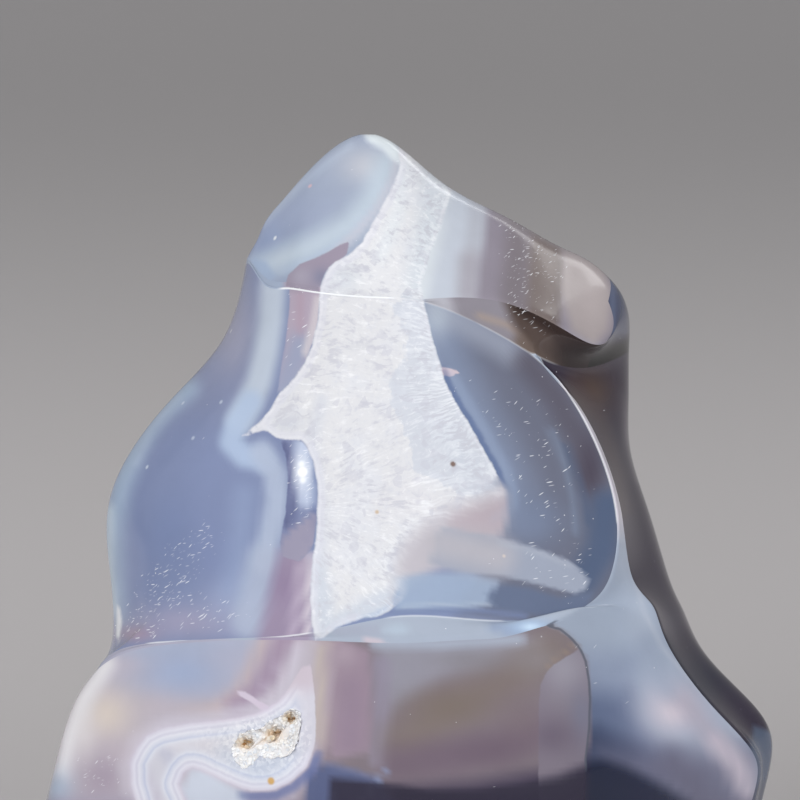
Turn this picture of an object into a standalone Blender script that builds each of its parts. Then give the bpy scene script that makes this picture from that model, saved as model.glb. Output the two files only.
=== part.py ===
"""A polished freeform flame of blue-grey chalcedony with a small crystal-lined vug.

The stone is one ground and polished piece. Its ridges, where two ground faces meet, are the
creased lines of a coarse cage, and Subdivision Surface draws the polished faces between them.
+Z is up, the flat foot stands on Z = 0, and the front looks along -Y.

Front points are (across, up, depth) in millimetres: across and up as they are read on a front
view by an eye VIEW_DISTANCE away at VIEW_HEIGHT, and depth as the true Y of the point.
"""

import math
import random

import bmesh
import bpy
import numpy as np
from mathutils import Vector

MM = 0.001
VIEW_DISTANCE = 400.0
VIEW_HEIGHT = 50.0
CAD_LEVELS = 2
FIT_ROUNDS = 6

# The top outline, from the left end over the tip to the right shoulder: columns 1 to 8.
CREST = [
    (-14.2, 66.2, 0.3),
    (-11.8, 69.9, 0.1),
    (-8.2, 73.9, 0.0),
    (-2.5, 76.6, 0.0),
    (4.0, 71.9, 0.3),
    (10.5, 68.4, 0.6),
    (16.0, 65.3, 0.9),
    (20.3, 62.6, 1.3),
]

# The front, row by row from the crest down. Columns 0 and 9 are the outline's left and right.
# GROUND marks a point that the grinding leaves between the ridges, filled in by ground_smooth().
GROUND = None
UPPER_FACE = [
    None,
    (-13.2, 64.4, -3.6),
    (-11.0, 65.7, -5.8),
    (-8.0, 67.2, -6.8),
    (-2.5, 68.7, -7.2),
    (4.0, 66.0, -6.9),
    (10.5, 63.8, -6.4),
    (16.2, 61.2, -5.8),
    (20.9, 59.9, -3.2),
    None,
]
UPPER_FACE_EDGE = [
    (-15.2, 64.3, 0.6),
    (-13.6, 62.4, -6.0),
    (-11.4, 61.8, -9.4),
    (-8.5, 61.4, -11.6),
    (-2.8, 60.9, -13.0),
    (3.8, 60.2, -12.6),
    (10.5, 59.7, -11.6),
    (16.5, 57.0, -10.4),
    (20.5, 55.7, -7.5),
    (22.7, 59.0, 2.5),
]
BROW_RIDGE = [
    (-15.5, 63.1, 0.6),
    (-13.9, 61.8, -6.8),
    (-11.5, 61.2, -10.2),
    (-8.5, 60.8, -12.4),
    (-2.8, 60.3, -13.8),
    (4.0, 59.3, -13.5),
    (13.0, 54.7, -12.0),
    (14.0, 54.3, -11.3),
    (18.8, 53.2, -6.2),
    (22.9, 55.0, 3.2),
]
FRONT_FACE_1 = [
    (-17.7, 56.0, 0.3),
    (-15.7, 55.2, -7.8),
    GROUND,
    GROUND,
    GROUND,
    GROUND,
    (17.1, 50.2, -11.4),
    (17.6, 49.9, -10.8),
    (20.4, 49.5, -5.0),
    (22.8, 50.0, 3.2),
]
FRONT_FACE_2 = [
    (-23.5, 49.4, 0.0),
    (-20.5, 48.0, -8.5),
    GROUND,
    GROUND,
    GROUND,
    GROUND,
    (19.8, 45.1, -12.0),
    (20.3, 44.8, -11.2),
    (21.8, 44.8, -5.2),
    (22.8, 44.5, 3.0),
]
FRONT_FACE_3 = [
    (-28.8, 40.8, 0.0),
    (-25.0, 39.5, -9.5),
    GROUND,
    GROUND,
    GROUND,
    GROUND,
    (21.6, 38.8, -13.2),
    (22.2, 38.5, -12.0),
    (23.7, 38.4, -5.8),
    (24.7, 38.4, 2.2),
]
FRONT_FACE_4 = [
    (-29.0, 32.5, 0.0),
    (-25.0, 30.8, -11.0),
    GROUND,
    GROUND,
    GROUND,
    GROUND,
    (21.2, 33.0, -15.6),
    (23.2, 32.3, -12.2),
    (25.0, 32.0, -6.3),
    (26.7, 31.9, 1.6),
]
WAIST_RIDGE = [
    (-28.3, 25.0, -1.5),
    (-29.7, 23.9, -11.5),
    (-25.0, 25.7, -15.5),
    (-11.0, 26.4, -23.3),
    (0.0, 28.4, -24.2),
    (10.0, 27.9, -22.8),
    (18.4, 29.3, -18.8),
    (25.3, 29.4, -12.4),
    (27.0, 29.0, -6.6),
    (28.2, 28.6, 1.2),
]
WAIST_BEVEL = [
    (-29.2, 22.8, -1.5),
    (-30.4, 22.9, -12.0),
    (-25.0, 25.3, -16.2),
    (-11.0, 26.0, -24.0),
    (0.5, 25.7, -26.0),
    (10.0, 26.2, -24.4),
    (19.2, 28.3, -19.6),
    (26.8, 25.5, -11.8),
    (29.0, 25.0, -5.8),
    (30.2, 24.5, 1.0),
]
LOWER_FACE_1 = [
    (-31.5, 18.8, -1.5),
    (-32.9, 18.5, -12.0),
    GROUND,
    GROUND,
    GROUND,
    GROUND,
    (20.0, 19.5, -21.0),
    (31.2, 19.4, -9.5),
    (33.3, 19.3, -3.8),
    (34.2, 20.3, 1.5),
]
LOWER_FACE_2 = [
    (-33.8, 10.5, -1.5),
    (-35.0, 10.3, -12.0),
    GROUND,
    GROUND,
    GROUND,
    GROUND,
    (20.0, 11.5, -22.0),
    (35.5, 14.3, -5.5),
    (36.3, 15.0, -1.5),
    (36.5, 16.5, 2.5),
]
LOWER_FACE_3 = [
    (-35.0, 5.0, -1.5),
    (-35.8, 5.0, -11.5),
    GROUND,
    GROUND,
    GROUND,
    GROUND,
    (19.8, 5.0, -20.8),
    (35.0, 9.2, -5.0),
    (35.7, 10.0, -1.0),
    (35.6, 11.0, 3.0),
]
# The foot's upper edge, in true millimetres.
FOOT_EDGE = [
    (-34.4, 1.3, -1.5),
    (-34.6, 1.3, -10.5),
    (-26.0, 1.3, -15.5),
    (-11.5, 1.3, -21.0),
    (-0.5, 1.3, -22.5),
    (9.5, 1.3, -21.5),
    (19.0, 1.3, -18.5),
    (33.0, 1.3, -6.0),
    (34.2, 1.3, -1.5),
    (34.0, 1.3, 3.0),
]
FOOT_BEVEL = 1.3

# The back: how far it stands behind the outline, and where its spine runs, by height.
BACK_HEIGHTS = [0.0, 6.0, 16.0, 30.0, 45.0, 60.0, 70.0, 78.0]
BACK_DEPTHS = [21.5, 23.0, 23.0, 20.0, 15.5, 9.5, 5.0, 0.0]
SPINE_ACROSS = [3.0, 2.0, -1.0, -5.0, -5.0, -2.0, -1.5, -2.0]
SPINE_COLUMN = 4

LAST = 9

# The vug, a small open hollow low on the left: its mouth and its long axis as read on the front view.
VUG_AXIS = ((-15.0, 15.4), (-11.4, 16.9))
VUG_MOUTH = [
    (-16.9, 15.2),
    (-16.1, 16.6),
    (-14.9, 17.0),
    (-13.9, 17.1),
    (-13.1, 17.8),
    (-11.7, 18.5),
    (-10.9, 19.1),
    (-10.1, 18.9),
    (-9.9, 17.6),
    (-10.2, 15.8),
    (-11.1, 14.5),
    (-12.8, 14.1),
    (-14.0, 14.5),
    (-14.8, 13.5),
    (-15.6, 13.1),
    (-16.5, 13.8),
]
VUG_DEPTH = 2.8
VUG_RING_ANGLES = [16, 34, 52, 68, 82]
CUTTER_STANDS_OUT = 1.5

# The crust of fused quartz crystals that lines the vug. A point's rise is a share of its width.
CRUST_GAP = 0.3
CRUST_WALL = 0.4
CRUST_SUNK = 0.3
CRUST_RIM_SLOPE = 0.3
CRYSTAL_SEED = 11
CRYSTAL_RISE = (0.45, 0.85)
CRYSTAL_LEAN = 0.25

STONE_COLOUR = (0.30, 0.34, 0.48, 1.0)
STONE_ROUGHNESS = 0.12
CRYSTAL_COLOUR = (0.62, 0.53, 0.42, 1.0)
CRYSTAL_ROUGHNESS = 0.25


def true_place(point):
    """The true place of a front-view point: what is nearer the eye looks larger, so it is drawn in."""
    across, up, depth = point
    drawn_in = 1.0 + depth / VIEW_DISTANCE
    return Vector((across * drawn_in, depth, VIEW_HEIGHT + (up - VIEW_HEIGHT) * drawn_in))


def ground_smooth(block, crown):
    """Fills a block of rows between its four sides, as a wheel does, and crowns it towards the front."""
    rows, columns = len(block) - 1, len(block[0]) - 1
    for i in range(1, rows):
        down = i / rows
        for j in range(1, columns):
            right = j / columns
            between_rows = block[0][j].lerp(block[rows][j], down)
            between_columns = block[i][0].lerp(block[i][columns], right)
            top = block[0][0].lerp(block[0][columns], right)
            bottom = block[rows][0].lerp(block[rows][columns], right)
            swell = 16 * down * (1 - down) * right * (1 - right)
            point = between_rows + between_columns - top.lerp(bottom, down)
            block[i][j] = point + Vector((0, -crown * swell, 0))


def front_rows():
    """The rows of the front in true millimetres, the ground faces filled in."""
    drawn = [
        UPPER_FACE,
        UPPER_FACE_EDGE,
        BROW_RIDGE,
        FRONT_FACE_1,
        FRONT_FACE_2,
        FRONT_FACE_3,
        FRONT_FACE_4,
        WAIST_RIDGE,
        WAIST_BEVEL,
        LOWER_FACE_1,
        LOWER_FACE_2,
        LOWER_FACE_3,
    ]
    rows = [[true_place(p) if p else None for p in row] for row in drawn]
    rows.append([Vector((x, y, z)) for x, z, y in FOOT_EDGE])
    for first, last, crown in ((2, 7, 1.2), (8, 12, 1.5)):
        block = [row[1:7] for row in rows[first : last + 1]]
        ground_smooth(block, crown)
        for row, filled in zip(rows[first : last + 1], block):
            row[1:7] = filled
    return rows


def smooth_curve(height, heights, values):
    """A smooth line through the values: the mean of straight runs over a window of heights."""
    window = [height + offset for offset in range(-8, 9, 2)]
    return float(np.interp(window, heights, values).mean())


def back_point(column, level, left, right, outline):
    """A point behind the outline: two ground faces that meet on a spine that leans with height."""
    if column <= SPINE_COLUMN:
        share = column / SPINE_COLUMN
        rise = share * (1.45 - 0.45 * share)
        near = left
    else:
        share = (LAST - column) / (LAST - SPINE_COLUMN)
        rise = share * (1.9 - 0.9 * share)
        near = right
    row_level = left.z + (right.z - left.z) * column / LAST
    z = row_level + (level - row_level) * min(1.0, 2 * share)
    spine = smooth_curve(z, BACK_HEIGHTS, SPINE_ACROSS)
    depth = smooth_curve(z, BACK_HEIGHTS, BACK_DEPTHS)
    edge = near.x + (smooth_curve(z, *outline[near is right]) - near.x) * min(1.0, 2 * share)
    y = left.y + (right.y - left.y) * column / LAST
    return Vector((edge + (spine - edge) * share, y + depth * rise, z))


def back_rows(rows, crest):
    """The rows of the back, spaced evenly down each column between the crest and the foot."""
    lefts = [row[0] or crest[0] for row in rows]
    rights = [row[LAST] or crest[-1] for row in rows]
    outline = [
        ([p.z for p in reversed(side)], [p.x for p in reversed(side)]) for side in (lefts, rights)
    ]
    behind = []
    for number, (left, right) in enumerate(zip(lefts, rights)):
        fall = (number + 1) / len(rows)
        points = []
        for column in range(1, LAST):
            top = crest[column - 1].z
            foot = rows[-1][column].z
            points.append(back_point(column, top + (foot - top) * fall, left, right, outline))
        behind.append(points)
    return behind


def stone_cage():
    """The cage's points, its faces, its creased lines, and which points the polish must pass through."""
    points, faces, creases = [], [], {}

    def add(vector):
        points.append(vector)
        return len(points) - 1

    rows = front_rows()
    crest = [add(true_place(p)) for p in CREST]
    front, back = [], []
    for row, behind in zip(rows, back_rows(rows, points[:])):
        left = add(row[0]) if row[0] else crest[0]
        right = add(row[LAST]) if row[LAST] else crest[-1]
        front.append([left] + [add(p) for p in row[1:LAST]] + [right])
        back.append([left] + [add(p) for p in behind] + [right])

    # The crest strip, then the rows below it. The crest's ends are also the first row's ends.
    for j in range(1, LAST - 1):
        faces.append((crest[j - 1], front[0][j], front[0][j + 1], crest[j]))
        faces.append((crest[j], back[0][j + 1], back[0][j], crest[j - 1]))
    for i in range(len(rows) - 1):
        for j in range(LAST):
            above, below = front[i], front[i + 1]
            faces.append((above[j], below[j], below[j + 1], above[j + 1]))
            above, below = back[i], back[i + 1]
            faces.append((above[j + 1], below[j + 1], below[j], above[j]))

    # The foot: a bevel under the last row, and one flat face.
    rim = front[-1] + back[-1][LAST - 1 : 0 : -1]
    middle = sum((points[k] for k in rim), Vector()) / len(rim)
    foot = []
    for k in rim:
        inward = (middle - points[k]).normalized() * FOOT_BEVEL
        foot.append(add(Vector((points[k].x + inward.x, points[k].y + inward.y, 0))))
    for k in range(len(rim)):
        after = (k + 1) % len(rim)
        faces.append((rim[k], foot[k], foot[after], rim[after]))
    faces.append(tuple(reversed(foot)))

    def crease(line, sharpness):
        for a, b in zip(line, line[1:]):
            creases[frozenset((a, b))] = sharpness

    crease(crest, 0.35)
    crease(front[1][4:9], 0.5)
    crease(front[2][0:7], 0.62)
    crease([front[i][6] for i in range(2, 8)], 0.62)
    crease([front[i][7] for i in range(3, 13)], 0.6)
    crease([front[i][8] for i in range(0, 2)], 0.5)
    crease(front[7][1:7], 0.6)
    crease(front[8][1:6], 0.45)
    crease([front[i][1] for i in range(6, 13)], 0.55)
    crease([back[i][SPINE_COLUMN] for i in range(0, 13)], 0.45)
    crease(foot + foot[:1], 1.0)

    # The ground faces, the foot and the back are free: the polish only has to run smoothly there.
    drawn = set(crest)
    for i, row in enumerate(front[:-1]):
        ground = (3 <= i <= 6) or (9 <= i <= 11)
        drawn.update(k for j, k in enumerate(row) if not ground or j in (0, 1, 6, 7, LAST))
    return points, faces, creases, drawn


def cage_object(name, points, faces, creases):
    mesh = bpy.data.meshes.new(name)
    mesh.from_pydata([p * MM for p in points], [], faces)
    attribute = mesh.attributes.new("crease_edge", "FLOAT", "EDGE")
    for edge in mesh.edges:
        attribute.data[edge.index].value = creases.get(frozenset(edge.vertices), 0.0)
    obj = bpy.data.objects.new(name, mesh)
    obj.modifiers.new("polish", "SUBSURF")
    obj.modifiers["polish"].levels = CAD_LEVELS
    obj.modifiers["polish"].render_levels = CAD_LEVELS
    return obj


def fit_to_points(obj, points, drawn):
    """Moves the cage until the smooth surface passes through the drawn points."""
    for _ in range(FIT_ROUNDS):
        bpy.context.view_layer.update()
        graph = bpy.context.evaluated_depsgraph_get()
        smooth = obj.evaluated_get(graph).to_mesh()
        reached = [smooth.vertices[k].co.copy() for k in range(len(points))]
        obj.evaluated_get(graph).to_mesh_clear()
        for k in drawn:
            obj.data.vertices[k].co += points[k] * MM - reached[k]
        obj.data.update()


def nearest_on_axis(point):
    """The place on the vug's long axis that is nearest to a point of its mouth."""
    start, end = VUG_AXIS
    run = (end[0] - start[0], end[1] - start[1])
    along = (point[0] - start[0]) * run[0] + (point[1] - start[1]) * run[1]
    share = min(1.0, max(0.0, along / (run[0] ** 2 + run[1] ** 2)))
    return (start[0] + run[0] * share, start[1] + run[1] * share)


def vug_frame(stone):
    """Where the vug opens in the polished face, and the side, up and outward axes of its mouth."""
    eye = Vector((0, -VIEW_DISTANCE, VIEW_HEIGHT)) * MM
    toward = true_place((*VUG_AXIS[0], 0)).lerp(true_place((*VUG_AXIS[1], 0)), 0.5) * MM - eye
    bpy.context.view_layer.update()
    graph = bpy.context.evaluated_depsgraph_get()
    _, place, outward, _ = stone.evaluated_get(graph).ray_cast(eye, toward.normalized())
    side = Vector((1, 0, 0))
    side = (side - outward * side.dot(outward)).normalized()
    return place / MM, side, outward.cross(side), outward


def mouth_place(frame, point, height):
    """A point of the front view, laid on the plane of the vug's mouth and raised along its outward."""
    place, side, up, outward = frame
    drawn_in = 1.0 + place.y / VIEW_DISTANCE
    across = (point[0] - (VUG_AXIS[0][0] + VUG_AXIS[1][0]) / 2) * drawn_in / side.x
    above = (point[1] - (VUG_AXIS[0][1] + VUG_AXIS[1][1]) / 2) * drawn_in / up.z
    return place + side * across + up * above + outward * height


def bowl_point(frame, mouth_point, inset, reach, height):
    """A point of a bowl under the mouth, reach being 1 at the wall and 0 on the long axis."""
    wall = mouth_place(frame, mouth_point, height)
    axis = mouth_place(frame, nearest_on_axis(mouth_point), height)
    return axis.lerp(wall, reach * (1 - inset / (wall - axis).length))


def bowl_rings(frame, inset, rim_height):
    """The rings of a bowl, from its rim down to the edge of its floor."""
    depth = VUG_DEPTH - inset
    mouth = []
    for here, after in zip(VUG_MOUTH, VUG_MOUTH[1:] + VUG_MOUTH[:1]):
        mouth += [here, tuple((a + b) / 2 for a, b in zip(here, after))]
    levels = [(1.0, rim_height)]
    for angle in VUG_RING_ANGLES:
        turned = math.radians(angle)
        levels.append((math.cos(turned) ** 0.6, -depth * math.sin(turned)))
    return [
        [bowl_point(frame, point, inset, reach, height) for point in mouth]
        for reach, height in levels
    ]


def ring_walls(bm, rings):
    """Walls between rings of points, and the rings' own vertices."""
    rings = [[bm.verts.new(point * MM) for point in ring] for ring in rings]
    for upper, lower in zip(rings, rings[1:]):
        for k in range(len(upper)):
            after = (k + 1) % len(upper)
            bm.faces.new((upper[k], upper[after], lower[after], lower[k]))
    return rings


def mesh_object(name, bm):
    bmesh.ops.recalc_face_normals(bm, faces=bm.faces)
    mesh = bpy.data.meshes.new(name)
    bm.to_mesh(mesh)
    bm.free()
    return bpy.data.objects.new(name, mesh)


def vug_cutter(frame):
    bm = bmesh.new()
    rings = ring_walls(bm, bowl_rings(frame, 0, CUTTER_STANDS_OUT))
    bm.faces.new(rings[0])
    bm.faces.new(rings[-1])
    return mesh_object("vug_cutter", bm)


def crystal_crust(frame):
    """A thin bowl in the vug whose inside is a bed of fused quartz points, one on each of its faces."""
    rand = random.Random(CRYSTAL_SEED)
    outside = bowl_rings(frame, CRUST_GAP, -CRUST_SUNK)
    inside = bowl_rings(frame, CRUST_GAP + CRUST_WALL, -CRUST_SUNK - CRUST_RIM_SLOPE)
    bm = bmesh.new()
    rings = ring_walls(bm, outside[::-1] + inside)
    bm.faces.new(rings[0])
    bm.faces.new(rings[-1])
    bmesh.ops.recalc_face_normals(bm, faces=bm.faces)
    open_side = {vertex for ring in rings[len(outside) - 1 :] for vertex in ring}
    for face in [face for face in bm.faces if open_side.issuperset(face.verts)]:
        corners = list(face.verts)
        rise = rand.uniform(*CRYSTAL_RISE) * math.sqrt(face.calc_area())
        lean = Vector([rand.uniform(-CRYSTAL_LEAN, CRYSTAL_LEAN) for _ in "xyz"])
        tip = bm.verts.new(face.calc_center_median() + (face.normal + lean) * rise)
        for a, b in zip(corners, corners[1:] + corners[:1]):
            bm.faces.new((a, b, tip))
        bm.faces.remove(face)
    return mesh_object("vug_crystals", bm)


def cut(obj, cutter):
    modifier = obj.modifiers.new(cutter.name, "BOOLEAN")
    modifier.operation = "DIFFERENCE"
    modifier.solver = "EXACT"
    modifier.object = cutter


def paint(obj, name, colour, roughness):
    material = bpy.data.materials.new(name)
    material.use_nodes = True
    shader = material.node_tree.nodes["Principled BSDF"]
    shader.inputs["Base Color"].default_value = colour
    shader.inputs["Roughness"].default_value = roughness
    shader.inputs["Metallic"].default_value = 0.0
    material.diffuse_color = colour
    obj.data.materials.append(material)


def main():
    for obj in list(bpy.data.objects):
        bpy.data.objects.remove(obj)
    collection = bpy.data.collections.new("chalcedony_flame")
    cutters = bpy.data.collections.new("cutters")
    for group in (collection, cutters):
        bpy.context.scene.collection.children.link(group)

    points, faces, creases, drawn = stone_cage()
    stone = cage_object("stone", points, faces, creases)
    collection.objects.link(stone)
    fit_to_points(stone, points, drawn)

    frame = vug_frame(stone)
    crust = crystal_crust(frame)
    collection.objects.link(crust)
    cutter = vug_cutter(frame)
    cutters.objects.link(cutter)
    cutter.hide_render = True
    cutter.display_type = "WIRE"
    cut(stone, cutter)

    paint(stone, "polished_chalcedony", STONE_COLOUR, STONE_ROUGHNESS)
    paint(crust, "drusy_quartz", CRYSTAL_COLOUR, CRYSTAL_ROUGHNESS)


main()
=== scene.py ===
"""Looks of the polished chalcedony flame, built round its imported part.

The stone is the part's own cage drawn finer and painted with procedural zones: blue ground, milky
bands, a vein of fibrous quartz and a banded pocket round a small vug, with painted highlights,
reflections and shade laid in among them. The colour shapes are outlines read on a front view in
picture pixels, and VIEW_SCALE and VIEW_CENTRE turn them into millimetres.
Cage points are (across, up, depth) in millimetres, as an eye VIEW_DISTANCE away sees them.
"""

import math
import random

import bmesh
import bpy
import numpy as np
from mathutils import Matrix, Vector, noise
from mathutils.kdtree import KDTree

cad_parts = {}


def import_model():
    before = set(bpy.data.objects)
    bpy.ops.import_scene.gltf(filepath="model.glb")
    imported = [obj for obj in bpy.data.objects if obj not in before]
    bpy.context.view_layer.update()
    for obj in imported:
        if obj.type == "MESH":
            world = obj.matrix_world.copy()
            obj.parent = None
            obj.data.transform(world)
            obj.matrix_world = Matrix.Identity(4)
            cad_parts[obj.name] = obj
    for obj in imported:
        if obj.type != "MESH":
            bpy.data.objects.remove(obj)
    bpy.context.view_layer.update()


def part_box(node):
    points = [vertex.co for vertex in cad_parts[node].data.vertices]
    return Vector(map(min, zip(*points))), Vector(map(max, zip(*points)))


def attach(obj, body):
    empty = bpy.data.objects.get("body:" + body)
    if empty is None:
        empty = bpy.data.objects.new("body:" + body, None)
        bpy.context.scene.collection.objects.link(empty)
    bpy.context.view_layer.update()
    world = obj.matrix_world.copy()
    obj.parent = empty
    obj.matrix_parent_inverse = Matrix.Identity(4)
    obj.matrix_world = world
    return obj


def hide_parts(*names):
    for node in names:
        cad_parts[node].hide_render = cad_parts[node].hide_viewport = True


MM = 0.001
VIEW_DISTANCE = 400.0
VIEW_HEIGHT = 50.0
CAD_LEVELS = 2
FINE_LEVELS = 4
FIT_ROUNDS = 6

# The front view in picture pixels: VIEW_SCALE of them to a millimetre at y = 0.
VIEW_SCALE = 10.0
VIEW_CENTRE = 400.0
GROUND_LINE = 900.0

# The top outline, from the left end over the tip to the right shoulder: columns 1 to 8.
CREST = [
    (-14.2, 66.2, 0.3),
    (-11.8, 69.9, 0.1),
    (-8.2, 73.9, 0.0),
    (-2.5, 76.6, 0.0),
    (4.0, 71.9, 0.3),
    (10.5, 68.4, 0.6),
    (16.0, 65.3, 0.9),
    (20.3, 62.6, 1.3),
]

# The front, row by row from the crest down. Columns 0 and 9 are the outline's left and right.
# GROUND marks a point that the grinding leaves between the ridges, filled in by ground_smooth().
GROUND = None
UPPER_FACE = [
    None,
    (-13.2, 64.4, -3.6),
    (-11.0, 65.7, -5.8),
    (-8.0, 67.2, -6.8),
    (-2.5, 68.7, -7.2),
    (4.0, 66.0, -6.9),
    (10.5, 63.8, -6.4),
    (16.2, 61.2, -5.8),
    (20.9, 59.9, -3.2),
    None,
]
UPPER_FACE_EDGE = [
    (-15.2, 64.3, 0.6),
    (-13.6, 62.4, -6.0),
    (-11.4, 61.8, -9.4),
    (-8.5, 61.4, -11.6),
    (-2.8, 60.9, -13.0),
    (3.8, 60.2, -12.6),
    (10.5, 59.7, -11.6),
    (16.5, 57.0, -10.4),
    (20.5, 55.7, -7.5),
    (22.7, 59.0, 2.5),
]
BROW_RIDGE = [
    (-15.5, 63.1, 0.6),
    (-13.9, 61.8, -6.8),
    (-11.5, 61.2, -10.2),
    (-8.5, 60.8, -12.4),
    (-2.8, 60.3, -13.8),
    (4.0, 59.3, -13.5),
    (13.0, 54.7, -12.0),
    (14.0, 54.3, -11.3),
    (18.8, 53.2, -6.2),
    (22.9, 55.0, 3.2),
]
FRONT_FACE_1 = [
    (-17.7, 56.0, 0.3),
    (-15.7, 55.2, -7.8),
    GROUND,
    GROUND,
    GROUND,
    GROUND,
    (17.1, 50.2, -11.4),
    (17.6, 49.9, -10.8),
    (20.4, 49.5, -5.0),
    (22.8, 50.0, 3.2),
]
FRONT_FACE_2 = [
    (-23.5, 49.4, 0.0),
    (-20.5, 48.0, -8.5),
    GROUND,
    GROUND,
    GROUND,
    GROUND,
    (19.8, 45.1, -12.0),
    (20.3, 44.8, -11.2),
    (21.8, 44.8, -5.2),
    (22.8, 44.5, 3.0),
]
FRONT_FACE_3 = [
    (-28.8, 40.8, 0.0),
    (-25.0, 39.5, -9.5),
    GROUND,
    GROUND,
    GROUND,
    GROUND,
    (21.6, 38.8, -13.2),
    (22.2, 38.5, -12.0),
    (23.7, 38.4, -5.8),
    (24.7, 38.4, 2.2),
]
FRONT_FACE_4 = [
    (-29.0, 32.5, 0.0),
    (-25.0, 30.8, -11.0),
    GROUND,
    GROUND,
    GROUND,
    GROUND,
    (21.2, 33.0, -15.6),
    (23.2, 32.3, -12.2),
    (25.0, 32.0, -6.3),
    (26.7, 31.9, 1.6),
]
WAIST_RIDGE = [
    (-28.3, 25.0, -1.5),
    (-29.7, 23.9, -11.5),
    (-25.0, 25.7, -15.5),
    (-11.0, 26.4, -23.3),
    (0.0, 28.4, -24.2),
    (10.0, 27.9, -22.8),
    (18.4, 29.3, -18.8),
    (25.3, 29.4, -12.4),
    (27.0, 29.0, -6.6),
    (28.2, 28.6, 1.2),
]
WAIST_BEVEL = [
    (-29.2, 22.8, -1.5),
    (-30.4, 22.9, -12.0),
    (-25.0, 25.3, -16.2),
    (-11.0, 26.0, -24.0),
    (0.5, 25.7, -26.0),
    (10.0, 26.2, -24.4),
    (19.2, 28.3, -19.6),
    (26.8, 25.5, -11.8),
    (29.0, 25.0, -5.8),
    (30.2, 24.5, 1.0),
]
LOWER_FACE_1 = [
    (-31.5, 18.8, -1.5),
    (-32.9, 18.5, -12.0),
    GROUND,
    GROUND,
    GROUND,
    GROUND,
    (20.0, 19.5, -21.0),
    (31.2, 19.4, -9.5),
    (33.3, 19.3, -3.8),
    (34.2, 20.3, 1.5),
]
LOWER_FACE_2 = [
    (-33.8, 10.5, -1.5),
    (-35.0, 10.3, -12.0),
    GROUND,
    GROUND,
    GROUND,
    GROUND,
    (20.0, 11.5, -22.0),
    (35.5, 14.3, -5.5),
    (36.3, 15.0, -1.5),
    (36.5, 16.5, 2.5),
]
LOWER_FACE_3 = [
    (-35.0, 5.0, -1.5),
    (-35.8, 5.0, -11.5),
    GROUND,
    GROUND,
    GROUND,
    GROUND,
    (19.8, 5.0, -20.8),
    (35.0, 9.2, -5.0),
    (35.7, 10.0, -1.0),
    (35.6, 11.0, 3.0),
]
# The foot's upper edge, in true millimetres.
FOOT_EDGE = [
    (-34.4, 1.3, -1.5),
    (-34.6, 1.3, -10.5),
    (-26.0, 1.3, -15.5),
    (-11.5, 1.3, -21.0),
    (-0.5, 1.3, -22.5),
    (9.5, 1.3, -21.5),
    (19.0, 1.3, -18.5),
    (33.0, 1.3, -6.0),
    (34.2, 1.3, -1.5),
    (34.0, 1.3, 3.0),
]
FOOT_BEVEL = 1.3

# The back: how far it stands behind the outline, and where its spine runs, by height.
BACK_HEIGHTS = [0.0, 6.0, 16.0, 30.0, 45.0, 60.0, 70.0, 78.0]
BACK_DEPTHS = [21.5, 23.0, 23.0, 20.0, 15.5, 9.5, 5.0, 0.0]
SPINE_ACROSS = [3.0, 2.0, -1.0, -5.0, -5.0, -2.0, -1.5, -2.0]
SPINE_COLUMN = 4

LAST = 9

# The vug, a small open hollow low on the left: its mouth and its long axis as read on the front view.
VUG_AXIS = ((-15.0, 15.4), (-11.4, 16.9))
VUG_MOUTH = [
    (-16.9, 15.2),
    (-16.1, 16.6),
    (-14.9, 17.0),
    (-13.9, 17.1),
    (-13.1, 17.8),
    (-11.7, 18.5),
    (-10.9, 19.1),
    (-10.1, 18.9),
    (-9.9, 17.6),
    (-10.2, 15.8),
    (-11.1, 14.5),
    (-12.8, 14.1),
    (-14.0, 14.5),
    (-14.8, 13.5),
    (-15.6, 13.1),
    (-16.5, 13.8),
]
VUG_DEPTH = 2.1
VUG_RINGS = 11
VUG_MOUTH_POINTS = 96
VUG_STANDS_OUT = 1.5
VUG_SEED = 5
MOUTH_OFFSETS = (0.0, 7.3)
MOUTH_SWELL = 0.12
DRUSE_INSET = 0.02
DRUSE_DEPTH = 0.3
PIT_DEPTH = 1.3
CRUST_THICKNESS = 0.2
CRYSTALS = 420
CRYSTAL_RADIUS = (0.16, 0.40)
CRYSTAL_LENGTH = (0.35, 0.85)
CRYSTAL_LEAN = 0.45
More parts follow.
